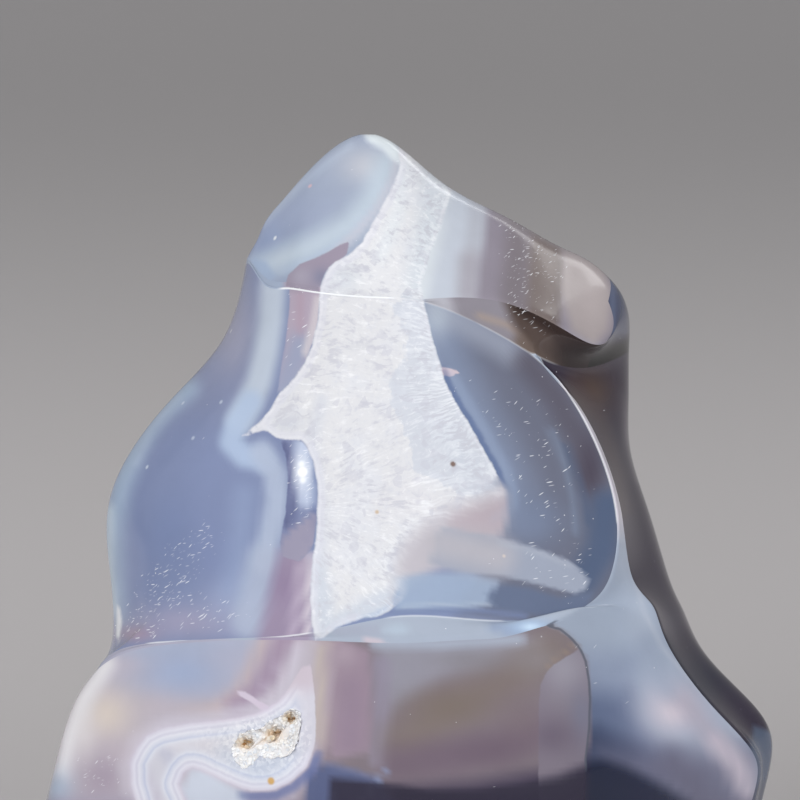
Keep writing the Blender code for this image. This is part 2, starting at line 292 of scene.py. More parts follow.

# Colour shapes on the front view, in picture pixels. A recipe starts from its ground colour and lays
# on areas (outline, softness), lines (path, half width, softness) and spots (centre, radii), each
# with an sRGB colour from 0 to 255 and a strength. Some layers are painted highlights, reflections
# and shade, noted where they stand.
UPPER_ZONE = [
    ("ground", (163, 173, 194)),
    ("spot", (262, 246), (44, 44), (146, 160, 191), 0.95),
    ("spot", (300, 214), (36, 22), (160, 170, 195), 0.6),
    ("line", [(262, 222), (276, 208), (300, 184), (330, 160), (350, 146)], 2, 7, (180, 192, 212), 0.8),
    ("spot", (366, 166), (26, 18), (196, 199, 208), 0.9),
    ("line", [(386, 166), (374, 198), (352, 224), (318, 244), (284, 258),
         (262, 268)], 8, 17, (193, 206, 219), 0.95),
    ("line", [(372, 212), (350, 236), (316, 258), (284, 270)], 2, 7, (182, 197, 217), 0.6),
    ("area", [(246, 262), (250, 276), (260, 283), (270, 284), (276, 276), (266, 262),
         (254, 258)], 4, (164, 181, 209), 0.8),
    ("spot", (258, 270), (14, 9), (168, 186, 213), 0.5),
    ("line", [(399, 152), (393, 180), (377, 209), (357, 232), (332, 256)], 3, 5, (198, 199, 211), 0.75),
    # A painted highlight on the rounded tip.
    ("area", [(362, 132), (382, 130), (396, 140), (401, 152), (400, 164), (391, 159), (383, 150),
         (368, 142)], 4, (228, 236, 241), 0.95),
    ("area", [(432, 150), (520, 150), (520, 320), (400, 320), (420, 290), (432, 250),
         (446, 210)], 10, (197, 204, 216), 1.0),
    ("line", [(436, 180), (430, 225), (418, 270), (412, 300)], 12, 12, (220, 226, 231), 0.9),
    ("line", [(478, 195), (474, 240), (468, 290)], 6, 10, (183, 186, 197), 0.8),
    ("line", [(470, 262), (468, 300)], 8, 14, (170, 166, 176), 0.7),
    ("area", [(488, 190), (484, 240), (480, 262), (476, 300), (520, 330), (660, 360),
         (660, 220)], 7, (150, 144, 156), 1.0),
    ("line", [(522, 215), (514, 310)], 10, 16, (133, 126, 132), 0.9),
    ("line", [(548, 235), (542, 330)], 14, 10, (126, 115, 112), 0.95),
    # A painted reflection of a softbox: the pink plane at the upper face's right end.
    ("area", [(564, 238), (588, 242), (604, 262), (612, 296), (608, 330), (594, 345), (572, 330),
         (560, 290)], 7, (176, 167, 167), 0.95),
    ("spot", (592, 305), (16, 26), (190, 180, 181), 0.7),
    ("line", [(498, 216), (530, 232), (566, 250), (590, 258)], 2, 5, (158, 152, 156), 0.5),
    ("line", [(560, 262), (556, 320)], 2, 4, (112, 102, 100), 0.6),
]
CORNER_ZONE = [
    ("ground", (88, 93, 113)),
    ("line", [(598, 248), (609, 264), (613, 290), (613, 330)], 2, 3, (104, 112, 134), 0.7),
    ("line", [(624, 282), (629, 310), (630, 345)], 2, 4, (98, 98, 108), 0.7),
    # Painted shade low in the corner, where the right side turns away from the light.
    ("area", [(560, 334), (600, 344), (640, 334), (640, 440), (560, 440)], 9, (40, 34, 40), 0.95),
]
FLUTE_ZONE = [
    ("ground", (170, 184, 208)),
    ("area", [(284, 270), (330, 270), (330, 310), (284, 310)], 4, (178, 166, 184), 0.95),
    ("area", [(424, 290), (480, 290), (480, 330), (424, 330)], 4, (186, 186, 196), 1.0),
    ("area", [(448, 290), (640, 290), (640, 440), (540, 420), (500, 350),
         (458, 322)], 8, (144, 140, 149), 1.0),
    ("line", [(480, 316), (508, 325), (532, 340)], 2, 6, (166, 152, 145), 0.8),
    # Painted shade where the groove turns down the right side, away from the light.
    ("area", [(500, 288), (640, 300), (640, 440), (570, 410), (536, 362), (512, 322)], 8, (86, 74, 70), 1.0),
    ("line", [(520, 306), (560, 332), (604, 350)], 5, 8, (56, 46, 44), 0.95),
    ("line", [(520, 342), (550, 370), (580, 404)], 4, 9, (112, 98, 90), 0.9),
    ("area", [(556, 340), (640, 330), (640, 440), (590, 430), (562, 380)], 12, (52, 44, 45), 0.95),
]
FRONT_ZONE = [
    ("ground", (135, 147, 182)),
    ("spot", (232, 330), (28, 62), (166, 167, 189), 0.85),
    ("spot", (200, 392), (34, 30), (143, 151, 181), 0.6),
    # A pale rim of painted light along the rounded left edge.
    (
        "line",
        [(186, 388), (156, 414), (134, 448), (120, 486), (113, 526), (112, 576), (116, 620)],
        8,
        15,
        (166, 187, 212),
        0.9,
    ),
    ("line", [(110, 510), (109, 566), (113, 612)], 3, 7, (197, 216, 232), 0.8),
    ("line", [(178, 398), (150, 428), (136, 462)], 3, 8, (178, 194, 217), 0.5),
    ("spot", (166, 540), (34, 44), (126, 141, 180), 0.7),
    ("spot", (220, 560), (24, 40), (135, 148, 187), 0.6),
    ("spot", (188, 622), (62, 18), (166, 163, 189), 0.85),
    ("spot", (134, 634), (22, 9), (176, 154, 172), 0.75),
    ("spot", (232, 604), (30, 24), (164, 173, 203), 0.8),
    # A painted white highlight low on the left edge.
    ("area", [(117, 604), (120, 608), (122, 622), (119, 642), (116, 636)], 1.5, (236, 239, 244), 1.0),
    ("line", [(273, 286), (271, 320), (266, 352), (259, 382), (250, 402),
         (240, 420)], 10, 11, (198, 209, 224), 0.95),
    ("line", [(250, 402), (236, 424), (231, 442), (244, 456), (262, 460)], 9, 10, (184, 202, 229), 0.9),
    ("line", [(262, 452), (275, 474), (277, 500), (271, 532), (262, 562)], 9, 10, (185, 197, 220), 0.92),
    ("line", [(262, 562), (254, 590), (250, 622)], 14, 14, (182, 192, 214), 0.85),
    ("line", [(244, 496), (240, 540), (230, 590)], 6, 20, (155, 171, 205), 0.6),
    ("area", [(280, 552), (292, 548), (312, 556), (316, 600), (312, 646), (256, 646),
         (266, 606)], 9, (162, 147, 172), 0.95),
    ("spot", (284, 584), (11, 20), (150, 134, 163), 0.8),
    ("line", [(300, 568), (297, 604), (291, 644)], 2.5, 7, (194, 181, 202), 0.75),
    ("line", [(310, 556), (309, 600), (307, 646)], 3, 5, (214, 206, 218), 0.9),
    ("area", [(424, 290), (446, 383), (505, 500), (498, 540), (440, 640), (560, 640), (640, 580),
         (640, 380), (500, 300)], 8, (114, 118, 136), 1.0),
    ("line", [(434, 300), (446, 350), (466, 396), (488, 436), (508, 476),
         (516, 512)], 12, 34, (136, 149, 175), 0.9),
    ("line", [(436, 306), (470, 326), (512, 352)], 9, 16, (156, 163, 180), 0.85),
    ("spot", (436, 318), (14, 22), (184, 194, 208), 0.8),
    # Painted shade: purple-grey darkening along the front face's right edge.
    ("line", [(528, 362), (556, 398), (578, 436), (592, 476)], 9, 18, (99, 96, 109), 0.85),
    ("spot", (590, 470), (12, 34), (84, 78, 92), 0.8),
    ("line", [(552, 432), (566, 466), (574, 500), (576, 532)], 2, 7, (132, 146, 170), 0.6),
    ("line", [(566, 446), (580, 484), (588, 522)], 2, 5, (90, 104, 132), 0.6),
    ("line", [(606, 506), (602, 548), (584, 578)], 12, 15, (88, 103, 132), 0.9),
    ("spot", (536, 522), (30, 26), (126, 138, 164), 0.8),
    (
        "area",
        [
            (390, 600), (388, 560), (404, 526), (440, 502), (492, 488), (506, 496), (506, 524),
            (498, 538), (470, 554), (440, 568), (410, 584),
        ],
        9,
        (201, 196, 203),
        0.95,
    ),
    ("area", [(452, 512), (486, 490), (504, 486), (506, 516), (500, 534), (470, 538),
         (446, 530)], 4, (190, 178, 187), 0.9),
    ("line", [(452, 510), (478, 498), (500, 490)], 2, 9, (212, 208, 214), 0.7),
    ("area", [(394, 578), (420, 574), (466, 572), (500, 580), (492, 604), (470, 610),
         (394, 612)], 5, (164, 181, 206), 0.9),
    ("area", [(488, 594), (502, 584), (530, 588), (560, 598), (594, 592), (588, 606), (560, 618),
         (520, 613), (490, 608)], 4, (108, 120, 147), 0.95),
    # A painted reflection: the pale band across the lower right of the front.
    (
        "area",
        [
            (440, 526), (480, 534), (505, 539), (530, 546), (555, 555), (570, 561), (581, 570),
            (588, 579), (587, 588), (577, 594), (560, 590), (540, 585), (520, 580), (500, 576),
            (478, 574), (450, 570), (430, 562),
        ],
        2,
        (164, 172, 190),
        1.0,
    ),
    ("line", [(444, 544), (470, 550), (496, 556)], 12, 22, (190, 187, 195), 0.85),
    ("line", [(500, 543), (540, 553), (570, 566)], 1, 4, (182, 188, 202), 0.5),
    ("line", [(392, 613), (440, 611), (480, 611), (524, 616)], 2, 4, (124, 138, 174), 0.8),
    ("line", [(404, 606), (440, 604), (492, 605)], 0.8, 2.4, (184, 196, 213), 0.6),
    ("area", [(330, 620), (400, 613), (470, 615), (545, 624), (540, 640),
         (330, 650)], 3, (140, 154, 188), 0.7),
]
SLIVER_ZONE = [
    ("ground", (158, 169, 187)),
    # A painted highlight: the bright sliver along the ridge.
    ("line", [(566, 392), (590, 428), (604, 462), (615, 500), (620, 530)], 9, 6, (202, 198, 208), 1.0),
    ("line", [(624, 540), (634, 585), (644, 625)], 8, 18, (170, 180, 196), 0.7),
    ("area", [(548, 652), (640, 652), (640, 700), (606, 716), (548, 716)], 20, (136, 147, 170), 0.85),
    ("area", [(560, 690), (628, 694), (650, 730), (672, 760), (660, 800),
         (560, 800)], 20, (92, 103, 131), 0.9),
    ("area", [(560, 730), (600, 728), (640, 748), (662, 772), (660, 820), (560, 820)], 14, (60, 69, 95), 0.9),
    ("area", [(600, 748), (760, 748), (760, 900), (560, 900)], 26, (106, 107, 128), 0.9),
    # A painted reflection: the soft pale blob on the lower right face and its trails.
    ("spot", (671, 710), (34, 32), (172, 172, 188), 0.85),
    ("spot", (671, 708), (22, 21), (190, 186, 198), 0.8),
    ("spot", (674, 712), (13, 12), (208, 199, 208), 0.85),
    ("line", [(682, 700), (706, 728), (730, 754), (744, 776)], 5, 20, (168, 162, 176), 0.85),
    ("line", [(716, 742), (738, 766), (748, 796)], 5, 14, (186, 178, 190), 0.9),
    ("line", [(672, 762), (692, 784), (704, 806)], 8, 22, (100, 99, 118), 0.7),
    ("line", [(646, 640), (656, 672), (668, 690)], 4, 16, (150, 160, 180), 0.6),
    ("line", [(630, 558), (644, 612), (664, 650), (700, 690), (742, 736)], 1, 4, (190, 195, 206), 0.4),
    # Painted shade: the dark navy along the bottom edge.
    ("area", [(540, 768), (584, 762), (604, 760), (624, 766), (644, 776), (668, 790), (690, 804),
         (700, 900), (540, 900)], 9, (38, 43, 62), 0.97),
    ("area", [(694, 806), (770, 796), (770, 900), (690, 900)], 12, (108, 106, 124), 0.8),
]
STRIP_ZONE = [
    # Painted shade: the dark strip on the side that turns away from the light.
    ("ground", (64, 60, 71)),
    ("spot", (590, 392), (24, 26), (92, 79, 73), 0.9),
    ("line", [(574, 380), (600, 420), (616, 470), (624, 510)], 4, 10, (80, 70, 72), 0.7),
    ("line", [(622, 395), (629, 440), (638, 480)], 2, 6, (84, 79, 87), 0.6),
    ("spot", (672, 622), (12, 16), (74, 72, 83), 0.7),
    # A painted shadow along the right of the ridge.
    ("spot", (700, 680), (30, 30), (46, 48, 62), 0.95),
    ("line", [(664, 640), (690, 690), (724, 732), (748, 752)], 4, 6, (32, 36, 52), 0.9),
    # A painted reflection: the lighter outer rim.
    ("area", [(754, 726), (774, 732), (774, 800), (751, 800), (748, 756)], 4, (88, 99, 118), 0.9),
    ("area", [(700, 790), (790, 780), (790, 900), (700, 900)], 12, (80, 84, 100), 0.9),
]
WAIST_ZONE = [
    ("ground", (176, 186, 203)),
    ("area", [(100, 630), (230, 620), (230, 660), (100, 670)], 14, (176, 176, 196), 1.0),
    ("area", [(256, 620), (314, 620), (314, 660), (256, 660)], 6, (166, 152, 176), 0.9),
    ("line", [(340, 632), (385, 632)], 6, 8, (172, 178, 196), 0.8),
    ("line", [(388, 630), (402, 630)], 4, 8, (186, 201, 217), 0.8),
    ("line", [(330, 622), (360, 617), (385, 613)], 2, 5, (156, 168, 200), 0.7),
    ("line", [(496, 629), (560, 632)], 5, 8, (152, 166, 192), 0.9),
    # A painted highlight at the waist's right end.
    ("spot", (530, 627), (22, 8), (166, 190, 222), 0.9),
    ("spot", (531, 627), (10, 4), (206, 228, 248), 0.95),
    # A painted reflection: the pale blue band along the waist.
    ("area", [(330, 636), (420, 636), (500, 632), (500, 660), (330, 660)], 6, (172, 182, 199), 0.9),
    ("area", [(362, 636), (380, 639), (390, 647), (391, 656), (383, 664),
         (371, 656)], 3, (208, 197, 207), 0.9),
]
LOWER_ZONE = [
    ("ground", (130, 120, 128)),
    ("area", [(60, 640), (300, 630), (322, 640), (318, 700), (316, 760), (300, 800),
         (60, 900)], 6, (190, 182, 194), 1.0),
    ("line", [(122, 656), (160, 648), (250, 642)], 6, 14, (176, 182, 202), 0.85),
    ("spot", (184, 672), (60, 33), (164, 178, 208), 0.95),
    ("spot", (236, 660), (26, 24), (178, 182, 204), 0.7),
    ("spot", (150, 706), (34, 14), (190, 182, 192), 0.8),
    ("spot", (206, 710), (34, 10), (196, 184, 190), 0.85),
    ("line", [(264, 640), (252, 668), (238, 692), (216, 710)], 4, 12, (196, 180, 184), 0.85),
    ("line", [(284, 640), (272, 668), (258, 692), (236, 708)], 8, 12, (166, 148, 170), 0.9),
    ("line", [(298, 644), (289, 668), (276, 692), (262, 704)], 2, 6, (200, 188, 203), 0.85),
    ("line", [(286, 645), (276, 668), (260, 692)], 1, 3, (186, 174, 194), 0.6),
    (
        "line",
        [
            (128, 790), (126, 765), (134, 746), (148, 733), (170, 723), (210, 717), (250, 710),
            (276, 697), (290, 676), (298, 650),
        ],
        3,
        11,
        (208, 204, 217),
        0.85,
    ),
    ("spot", (120, 664), (22, 12), (190, 184, 198), 0.8),
    ("spot", (106, 714), (28, 26), (221, 210, 202), 0.95),
    ("line", [(106, 664), (84, 700), (70, 738), (62, 772)], 6, 13, (230, 229, 233), 0.95),
    ("spot", (86, 738), (12, 30), (226, 222, 224), 0.7),
    ("spot", (122, 752), (24, 12), (196, 186, 196), 0.85),
    ("spot", (102, 778), (22, 22), (172, 160, 176), 0.85),
    ("spot", (58, 790), (16, 20), (176, 190, 210), 0.9),
    ("line", [(138, 742), (128, 768), (136, 800)], 5, 12, (206, 200, 212), 0.8),
    ("area", [(60, 800), (300, 800), (300, 900), (60, 900)], 16, (160, 154, 176), 0.8),
    ("area", [(178, 790), (192, 768), (206, 768), (226, 782), (248, 794), (256, 850),
         (196, 850)], 6, (208, 217, 232), 0.9),
    ("area", [(318, 636), (340, 640), (337, 700), (331, 744), (316, 762),
         (312, 700)], 7, (186, 173, 177), 0.9),
    ("line", [(320, 650), (320, 700), (318, 736)], 3, 5, (193, 182, 177), 0.8),
    ("area", [(334, 640), (370, 650), (373, 700), (370, 752), (328, 760),
         (332, 700)], 6, (158, 141, 157), 0.95),
    ("spot", (344, 654), (14, 12), (177, 162, 175), 0.8),
    ("line", [(331, 655), (329, 710)], 2, 5, (173, 160, 175), 0.6),
    ("line", [(352, 690), (350, 740)], 8, 12, (150, 133, 152), 0.6),
    ("area", [(376, 640), (440, 642), (540, 640), (540, 646), (500, 662), (440, 680), (404, 700),
         (382, 716)], 14, (154, 154, 167), 0.9),
    ("line", [(382, 664), (382, 720), (378, 760)], 6, 9, (150, 144, 162), 0.85),
    ("line", [(550, 652), (500, 684), (440, 716), (404, 742)], 12, 30, (131, 120, 117), 0.9),
    ("spot", (448, 706), (40, 18), (126, 115, 107), 0.6),
    ("spot", (534, 660), (22, 14), (143, 137, 141), 0.7),
    ("spot", (470, 660), (36, 12), (139, 136, 143), 0.7),
    ("line", [(400, 764), (450, 758), (500, 748), (540, 730)], 12, 22, (115, 101, 115), 0.9),
    ("spot", (520, 716), (26, 22), (128, 116, 122), 0.7),
    # Painted shade: the dark navy along the bottom edge.
    ("area", [(312, 772), (360, 784), (400, 787), (470, 781), (545, 770), (600, 744), (600, 900),
         (300, 900)], 12, (73, 66, 86), 0.9),
    ("area", [(322, 764), (340, 766), (360, 772), (378, 779), (392, 800), (380, 900), (300, 900),
         (306, 780)], 4, (92, 102, 139), 0.95),
    ("line", [(322, 763), (340, 767), (360, 773), (378, 780)], 1.5, 4, (124, 128, 158), 0.6),
    ("line", [(386, 770), (372, 788), (362, 804)], 1.5, 4, (141, 154, 188), 0.7),
    ("area", [(396, 788), (440, 794), (480, 796), (520, 794), (556, 786), (584, 768), (600, 755),
         (620, 900), (380, 900)], 6, (43, 41, 58), 0.95),
    ("line", [(376, 643), (440, 644), (520, 639)], 4, 8, (170, 179, 196), 0.9),
    ("line", [(549, 668), (558, 658), (567, 651), (576, 644), (584, 637)], 1.2, 2.5, (178, 152, 122), 0.25),
    (
        "area",
        [
            (330, 778), (380, 783), (427, 790), (475, 789), (523, 783), (570, 773), (600, 760),
            (600, 900), (330, 900),
        ],
        4, (50, 47, 64), 0.9,
    ),
]
# The colours inside the crisp shapes, each laid on a little past the edge it is cut to.
CRISP_ZONE = [
    ("ground", (160, 168, 190)),
    ("area", [(270, 284), (330, 284), (330, 350), (300, 400), (266, 400),
         (274, 340)], 3, (184, 172, 189), 1.0),
    ("line", [(300, 346), (288, 380), (276, 398)], 9, 16, (160, 168, 194), 0.9),
    ("line", [(284, 300), (280, 345), (272, 385)], 3, 4, (132, 144, 184), 0.8),
    ("line", [(300, 296), (300, 330)], 2, 7, (182, 160, 176), 0.6),
    ("line", [(318, 300), (314, 325), (306, 352)], 3, 5, (214, 208, 214), 0.85),
    ("area", [(280, 260), (300, 250), (350, 236), (352, 258), (322, 292),
         (280, 290)], 3, (160, 151, 168), 1.0),
    ("spot", (322, 277), (12, 9), (132, 134, 158), 0.8),
    ("spot", (300, 276), (12, 9), (170, 166, 182), 0.7),
    ("area", [(272, 438), (322, 430), (326, 566), (272, 566)], 4, (132, 141, 176), 1.0),
    ("line", [(284, 446), (291, 470), (292, 500), (288, 524)], 3, 5, (102, 108, 146), 0.95),
    # A painted highlight on the lens: its pale halo.
    ("line", [(303, 446), (311, 470), (308, 500)], 5, 8, (172, 188, 216), 0.85),
    ("line", [(313, 458), (318, 486), (316, 516), (308, 540)], 1.5, 4, (92, 108, 154), 0.85),
    ("area", [(276, 560), (278, 545), (290, 530), (302, 522), (315, 512), (316, 545),
         (302, 566)], 3, (164, 159, 180), 0.9),
    # The lens's painted highlight: its halo and white core.
    ("spot", (302, 472), (8, 24), (220, 228, 243), 0.85),
    ("spot", (302, 473), (4.5, 12), (255, 255, 255), 1.0),
    ("area", [(530, 630), (600, 630), (610, 680), (610, 850), (530, 850)], 3, (130, 122, 135), 1.0),
    ("spot", (566, 668), (26, 28), (156, 153, 165), 0.95),
    ("spot", (582, 716), (12, 26), (124, 126, 145), 0.8),
    ("spot", (552, 736), (24, 18), (108, 98, 114), 0.8),
    # Painted shade: the dark navy along the bottom edge.
    ("area", [(520, 784), (560, 776), (600, 760), (600, 900), (520, 900)], 8, (50, 47, 64), 0.97),
    ("area", [(120, 640), (330, 640), (330, 900), (120, 900)], 3, (212, 212, 223), 1.0),
    ("line", [(136, 764), (150, 790), (160, 820)], 6, 10, (200, 196, 212), 0.85),
    ("line", [(166, 752), (180, 780)], 4, 7, (196, 198, 216), 0.8),
    ("line", [(176, 740), (210, 736), (236, 732)], 8, 10, (222, 220, 228), 0.8),
    ("line", [(232, 748), (262, 770), (292, 762)], 12, 14, (196, 209, 229), 0.85),
    ("line", [(308, 690), (308, 740), (300, 764)], 6, 8, (214, 212, 224), 0.8),
    ("line", [(300, 650), (290, 690), (262, 714), (210, 724)], 3, 6, (216, 206, 217), 0.7),
    ("spot", (236, 742), (34, 14), (224, 219, 222), 0.7),
    ("area", [(290, 630), (330, 630), (326, 684), (286, 700)], 10, (207, 196, 208), 0.95),
    ("area", [(230, 684), (276, 684), (276, 712), (262, 714), (230, 700)], 2, (216, 205, 222), 1.0),
    ("area", [(434, 360), (470, 360), (470, 384), (434, 384)], 2, (216, 198, 204), 1.0),
    # More of the lens's painted highlight: a pale streak and a white spot.
    ("line", [(304, 446), (303, 470), (306, 500)], 5, 9, (206, 216, 238), 0.75),
    ("spot", (302, 469), (8, 13), (232, 238, 249), 0.85),
]
CRISP_SHAPES = {
    "mauve strip": [
        (290, 286), (318, 286), (320, 292), (318, 320), (312, 345), (305, 362), (297, 375),
        (285, 388), (277, 397), (281, 366), (286, 340), (289, 312),
    ],
    "dark spot": [
        (349, 241), (347, 254), (339, 261), (331, 265), (325, 273), (320, 287), (286, 286),
        (288, 275), (300, 264), (320, 256), (336, 247),
    ],
    "flake": [(441, 367), (452, 369), (462, 371), (455, 375), (446, 377), (441, 374)],
    "pale flake": [
        (236, 691), (242, 690), (248, 693), (256, 699), (264, 704), (270, 708), (265, 711),
        (258, 708), (250, 702), (243, 697), (237, 695),
    ],
    "lens": [
        (279, 440), (297, 440), (305, 443), (313, 460), (317, 480), (318, 500), (317, 520),
        (312, 548), (300, 562), (281, 556), (280, 542), (286, 510), (288, 476), (286, 455),
    ],
    "patch": [
        (538, 860), (539, 720), (539, 700), (541, 684), (545, 674), (552, 666), (564, 658),
        (579, 649), (586, 662), (589, 682), (590, 700), (589, 730), (586, 755), (580, 860),
    ],
    "pocket": [
        (130, 762), (138, 746), (146, 736), (160, 729), (180, 725), (200, 722), (220, 720),
        (240, 717), (255, 714), (266, 709), (280, 700), (291, 685), (300, 670), (307, 658),
        (311, 668), (314, 690), (316, 720), (315, 744), (307, 767), (290, 782), (273, 790),
        (252, 791), (238, 787), (222, 780), (207, 773), (196, 768), (189, 768), (183, 774),
        (179, 784), (186, 800), (200, 850), (150, 850), (138, 810), (131, 785),
    ],
}
# The vein of fibrous quartz that runs through the stone, its colours and the line that it grew along.
VEIN_SHAPE = [
    (398, 120), (399, 152), (400, 165), (395, 180), (388, 195), (381, 208), (374, 220), (368, 232),
    (362, 242), (355, 250), (345, 257), (335, 262), (329, 268), (325, 275), (322, 282), (320, 292),
    (318, 320), (312, 345), (305, 362), (297, 375), (285, 388), (277, 397), (270, 410), (262, 420),
    (252, 428), (241, 437), (255, 433), (265, 430), (275, 437), (283, 440), (300, 439), (305, 443),
    (313, 460), (317, 480), (318, 500), (316, 540), (312, 560), (310, 600), (312, 625), (316, 641),
    (325, 637), (340, 626), (365, 618), (380, 617), (390, 610), (400, 600), (402, 588), (401, 566),
    (408, 548), (424, 532), (448, 518), (474, 508), (492, 500), (504, 494),
    (501, 485), (497, 473), (488, 457), (478, 438), (470, 425), (462, 412), (452, 395), (446, 383),
    (443, 375), (440, 362), (434, 345), (428, 320), (424, 300), (421, 285), (430, 255), (440, 230),
    (452, 190), (456, 120),
]
VEIN_LEFT = VEIN_SHAPE[:40]
VEIN_RIGHT = VEIN_SHAPE[46:]
VEIN_SOFT = [(398, 584), (402, 562), (410, 544), (448, 518), (496, 498)]
VEIN_LINE = [
    (425, 120), (420, 170), (410, 215), (388, 255), (374, 290), (370, 330), (368, 370), (362, 410),
    (388, 450), (408, 490), (400, 530), (378, 575), (350, 612), (336, 640),
]
VEIN_ZONE = [
    ("ground", (228, 229, 233)),
    ("line", [(440, 150), (436, 215), (424, 280)], 14, 16, (213, 220, 228), 0.9),
    ("line", [(404, 165), (398, 215), (380, 255)], 5, 8, (227, 232, 237), 0.8),
    ("spot", (345, 278), (16, 14), (209, 214, 221), 0.8),
    ("line", [(447, 430), (470, 470), (490, 500)], 9, 12, (197, 206, 218), 0.8),
    ("line", [(436, 350), (452, 396), (474, 432), (496, 474)], 2, 4, (211, 219, 229), 0.8),
    ("spot", (410, 505), (34, 26), (228, 228, 233), 0.9),
    ("area", [(440, 508), (474, 498), (510, 490), (512, 540), (470, 560), (420, 556),
         (425, 530)], 14, (205, 201, 208), 0.8),
    ("line", [(314, 560), (322, 600), (326, 630), (350, 618), (384, 600)], 8, 10, (206, 214, 227), 0.8),
    ("line", [(400, 592), (392, 606), (372, 616), (334, 630)], 1.5, 3, (165, 185, 213), 0.8),
    ("line", [(322, 400), (312, 445), (322, 500), (320, 560)], 4, 8, (215, 219, 229), 0.7),
    ("spot", (288, 424), (16, 8), (209, 213, 223), 0.7),
    ("line", [(347, 348), (372, 346)], 1.5, 3, (207, 209, 217), 0.5),
]
# The outline of the glassier quartz in the right part of the vein.
VEIN_GLASSY = [
    (387, 296), (391, 312), (399, 320), (402, 335), (404, 350), (402, 362), (396, 368),
    (391, 375), (386, 383), (388, 395), (397, 405), (400, 420), (408, 440), (416, 466),
    (440, 486), (470, 494), (520, 500), (520, 430), (450, 300), (424, 296),
]
# Right of this curve the lower face takes on the right face's colours.
CURVE = [
    (547, 626), (560, 629), (570, 637), (580, 648), (586, 662), (589, 682), (590, 700),
    (589, 730), (585, 762),
]
RIGHT_OF_CURVE = CURVE + [(586, 766), (586, 900), (660, 900), (660, 580), (606, 588), (583, 606)]
# Along this stretch the vein has a dark edge.
VEIN_OUTLINE = [(445, 384), (452, 395), (462, 412), (478, 438), (497, 473), (503, 495), (506, 520)]
# Painted highlights on the ridges: where a ridge catches the light, and how strongly.
GLINTS = [
    ([(292, 287), (316, 291), (359, 296), (380, 296)], 0.95),
    ([(384, 296), (436, 306), (466, 316)], 0.12),
    ([(490, 329), (520, 346), (545, 370)], 0.2),
    ([(560, 384), (582, 412), (600, 450), (616, 510)], 0.5),
    ([(160, 641), (200, 638), (250, 637), (300, 637)], 0.6),
    ([(400, 616), (450, 618), (490, 622)], 0.35),
]
# How many pixels the vein has drawn in by where it ends behind, and over which depths in millimetres.
VEIN_CLOSES = 130
VEIN_CLOSING = (3, 17)
# Where polishing has left white specks and fine scratches.
SPECKLED = [
    ([(500, 215), (565, 250), (550, 350), (510, 330)], 12, 1.2),
    ([(124, 612), (150, 566), (200, 520), (222, 540), (190, 600), (150, 642), (118, 642)], 12, 1.5),
    ([(180, 590), (250, 600), (250, 630), (170, 634)], 10, 0.9),
    ([(470, 380), (560, 400), (600, 500), (590, 600), (520, 610), (520, 520)], 12, 0.6),
    ([(75, 755), (122, 755), (122, 800), (75, 800)], 8, 0.9),
    ([(290, 440), (316, 440), (314, 525), (290, 525)], 5, 1.3),
    ([(286, 286), (316, 286), (310, 340), (286, 380)], 5, 0.7),
]
# Single marks, the first three together a painted white highlight on the lens: centre, radius, colour,
# strength, softness.
MARKS_AND_HIGHLIGHT = [
    ((301.5, 464), 3.0, (244, 248, 253), 0.85, 2.4),
    ((302.5, 472), 4.6, (255, 255, 255), 1.0, 2.4),
    ((303, 480), 3.0, (244, 248, 253), 0.85, 2.4),
    ((453, 464), 2.6, (112, 84, 70), 0.9, 1.4),
    ((377, 512), 1.8, (190, 160, 120), 0.7, 1.2),
    ((271, 781), 3.4, (205, 164, 96), 0.95, 1.4),
    ((275, 238), 2.2, (226, 230, 234), 0.8, 1.2),
    ((310, 186), 2.2, (208, 176, 184), 0.8, 1.2),
    ((231, 331), 2.2, (196, 198, 208), 0.7, 1.2),
    ((183, 403), 2.0, (190, 200, 216), 0.7, 1.2),
    ((193, 438), 2.0, (186, 196, 214), 0.7, 1.2),
    ((221, 402), 2.0, (190, 200, 216), 0.7, 1.2),
    ((147, 467), 2.0, (200, 210, 222), 0.7, 1.2),
    ((418, 502), 2.6, (196, 196, 206), 0.6, 2.0),
    ((390, 490), 3.2, (200, 202, 210), 0.5, 2.5),
    ((504, 556), 1.6, (206, 196, 190), 0.8, 1.0),
]
GLINT_REACH = 16.0
# The pocket's growth bands by depth, as shares of BAND_REACH, and the blue shadow under its edge.
BAND_REACH = 40.0
POCKET_BANDS = [
    (0.0, (206, 200, 216)),
    (0.10, (224, 224, 236)),
    (0.16, (206, 206, 222)),
    (0.22, (226, 228, 238)),
    (0.30, (208, 213, 228)),
    (0.35, (190, 199, 222)),
    (0.40, (222, 227, 238)),
    (0.5, (216, 218, 229)),
]
POCKET_BANDED = ("area", [(110, 700), (300, 690), (290, 760), (330, 740), (340, 800),
         (110, 900)], 12, (0, 0, 0), 1.0)
POCKET_SHADOW = [(318, 766), (312, 778), (290, 794), (252, 802)]
VUG_GRAINS = ("spot", (264, 742), (42, 24), (0, 0, 0), 1.0)
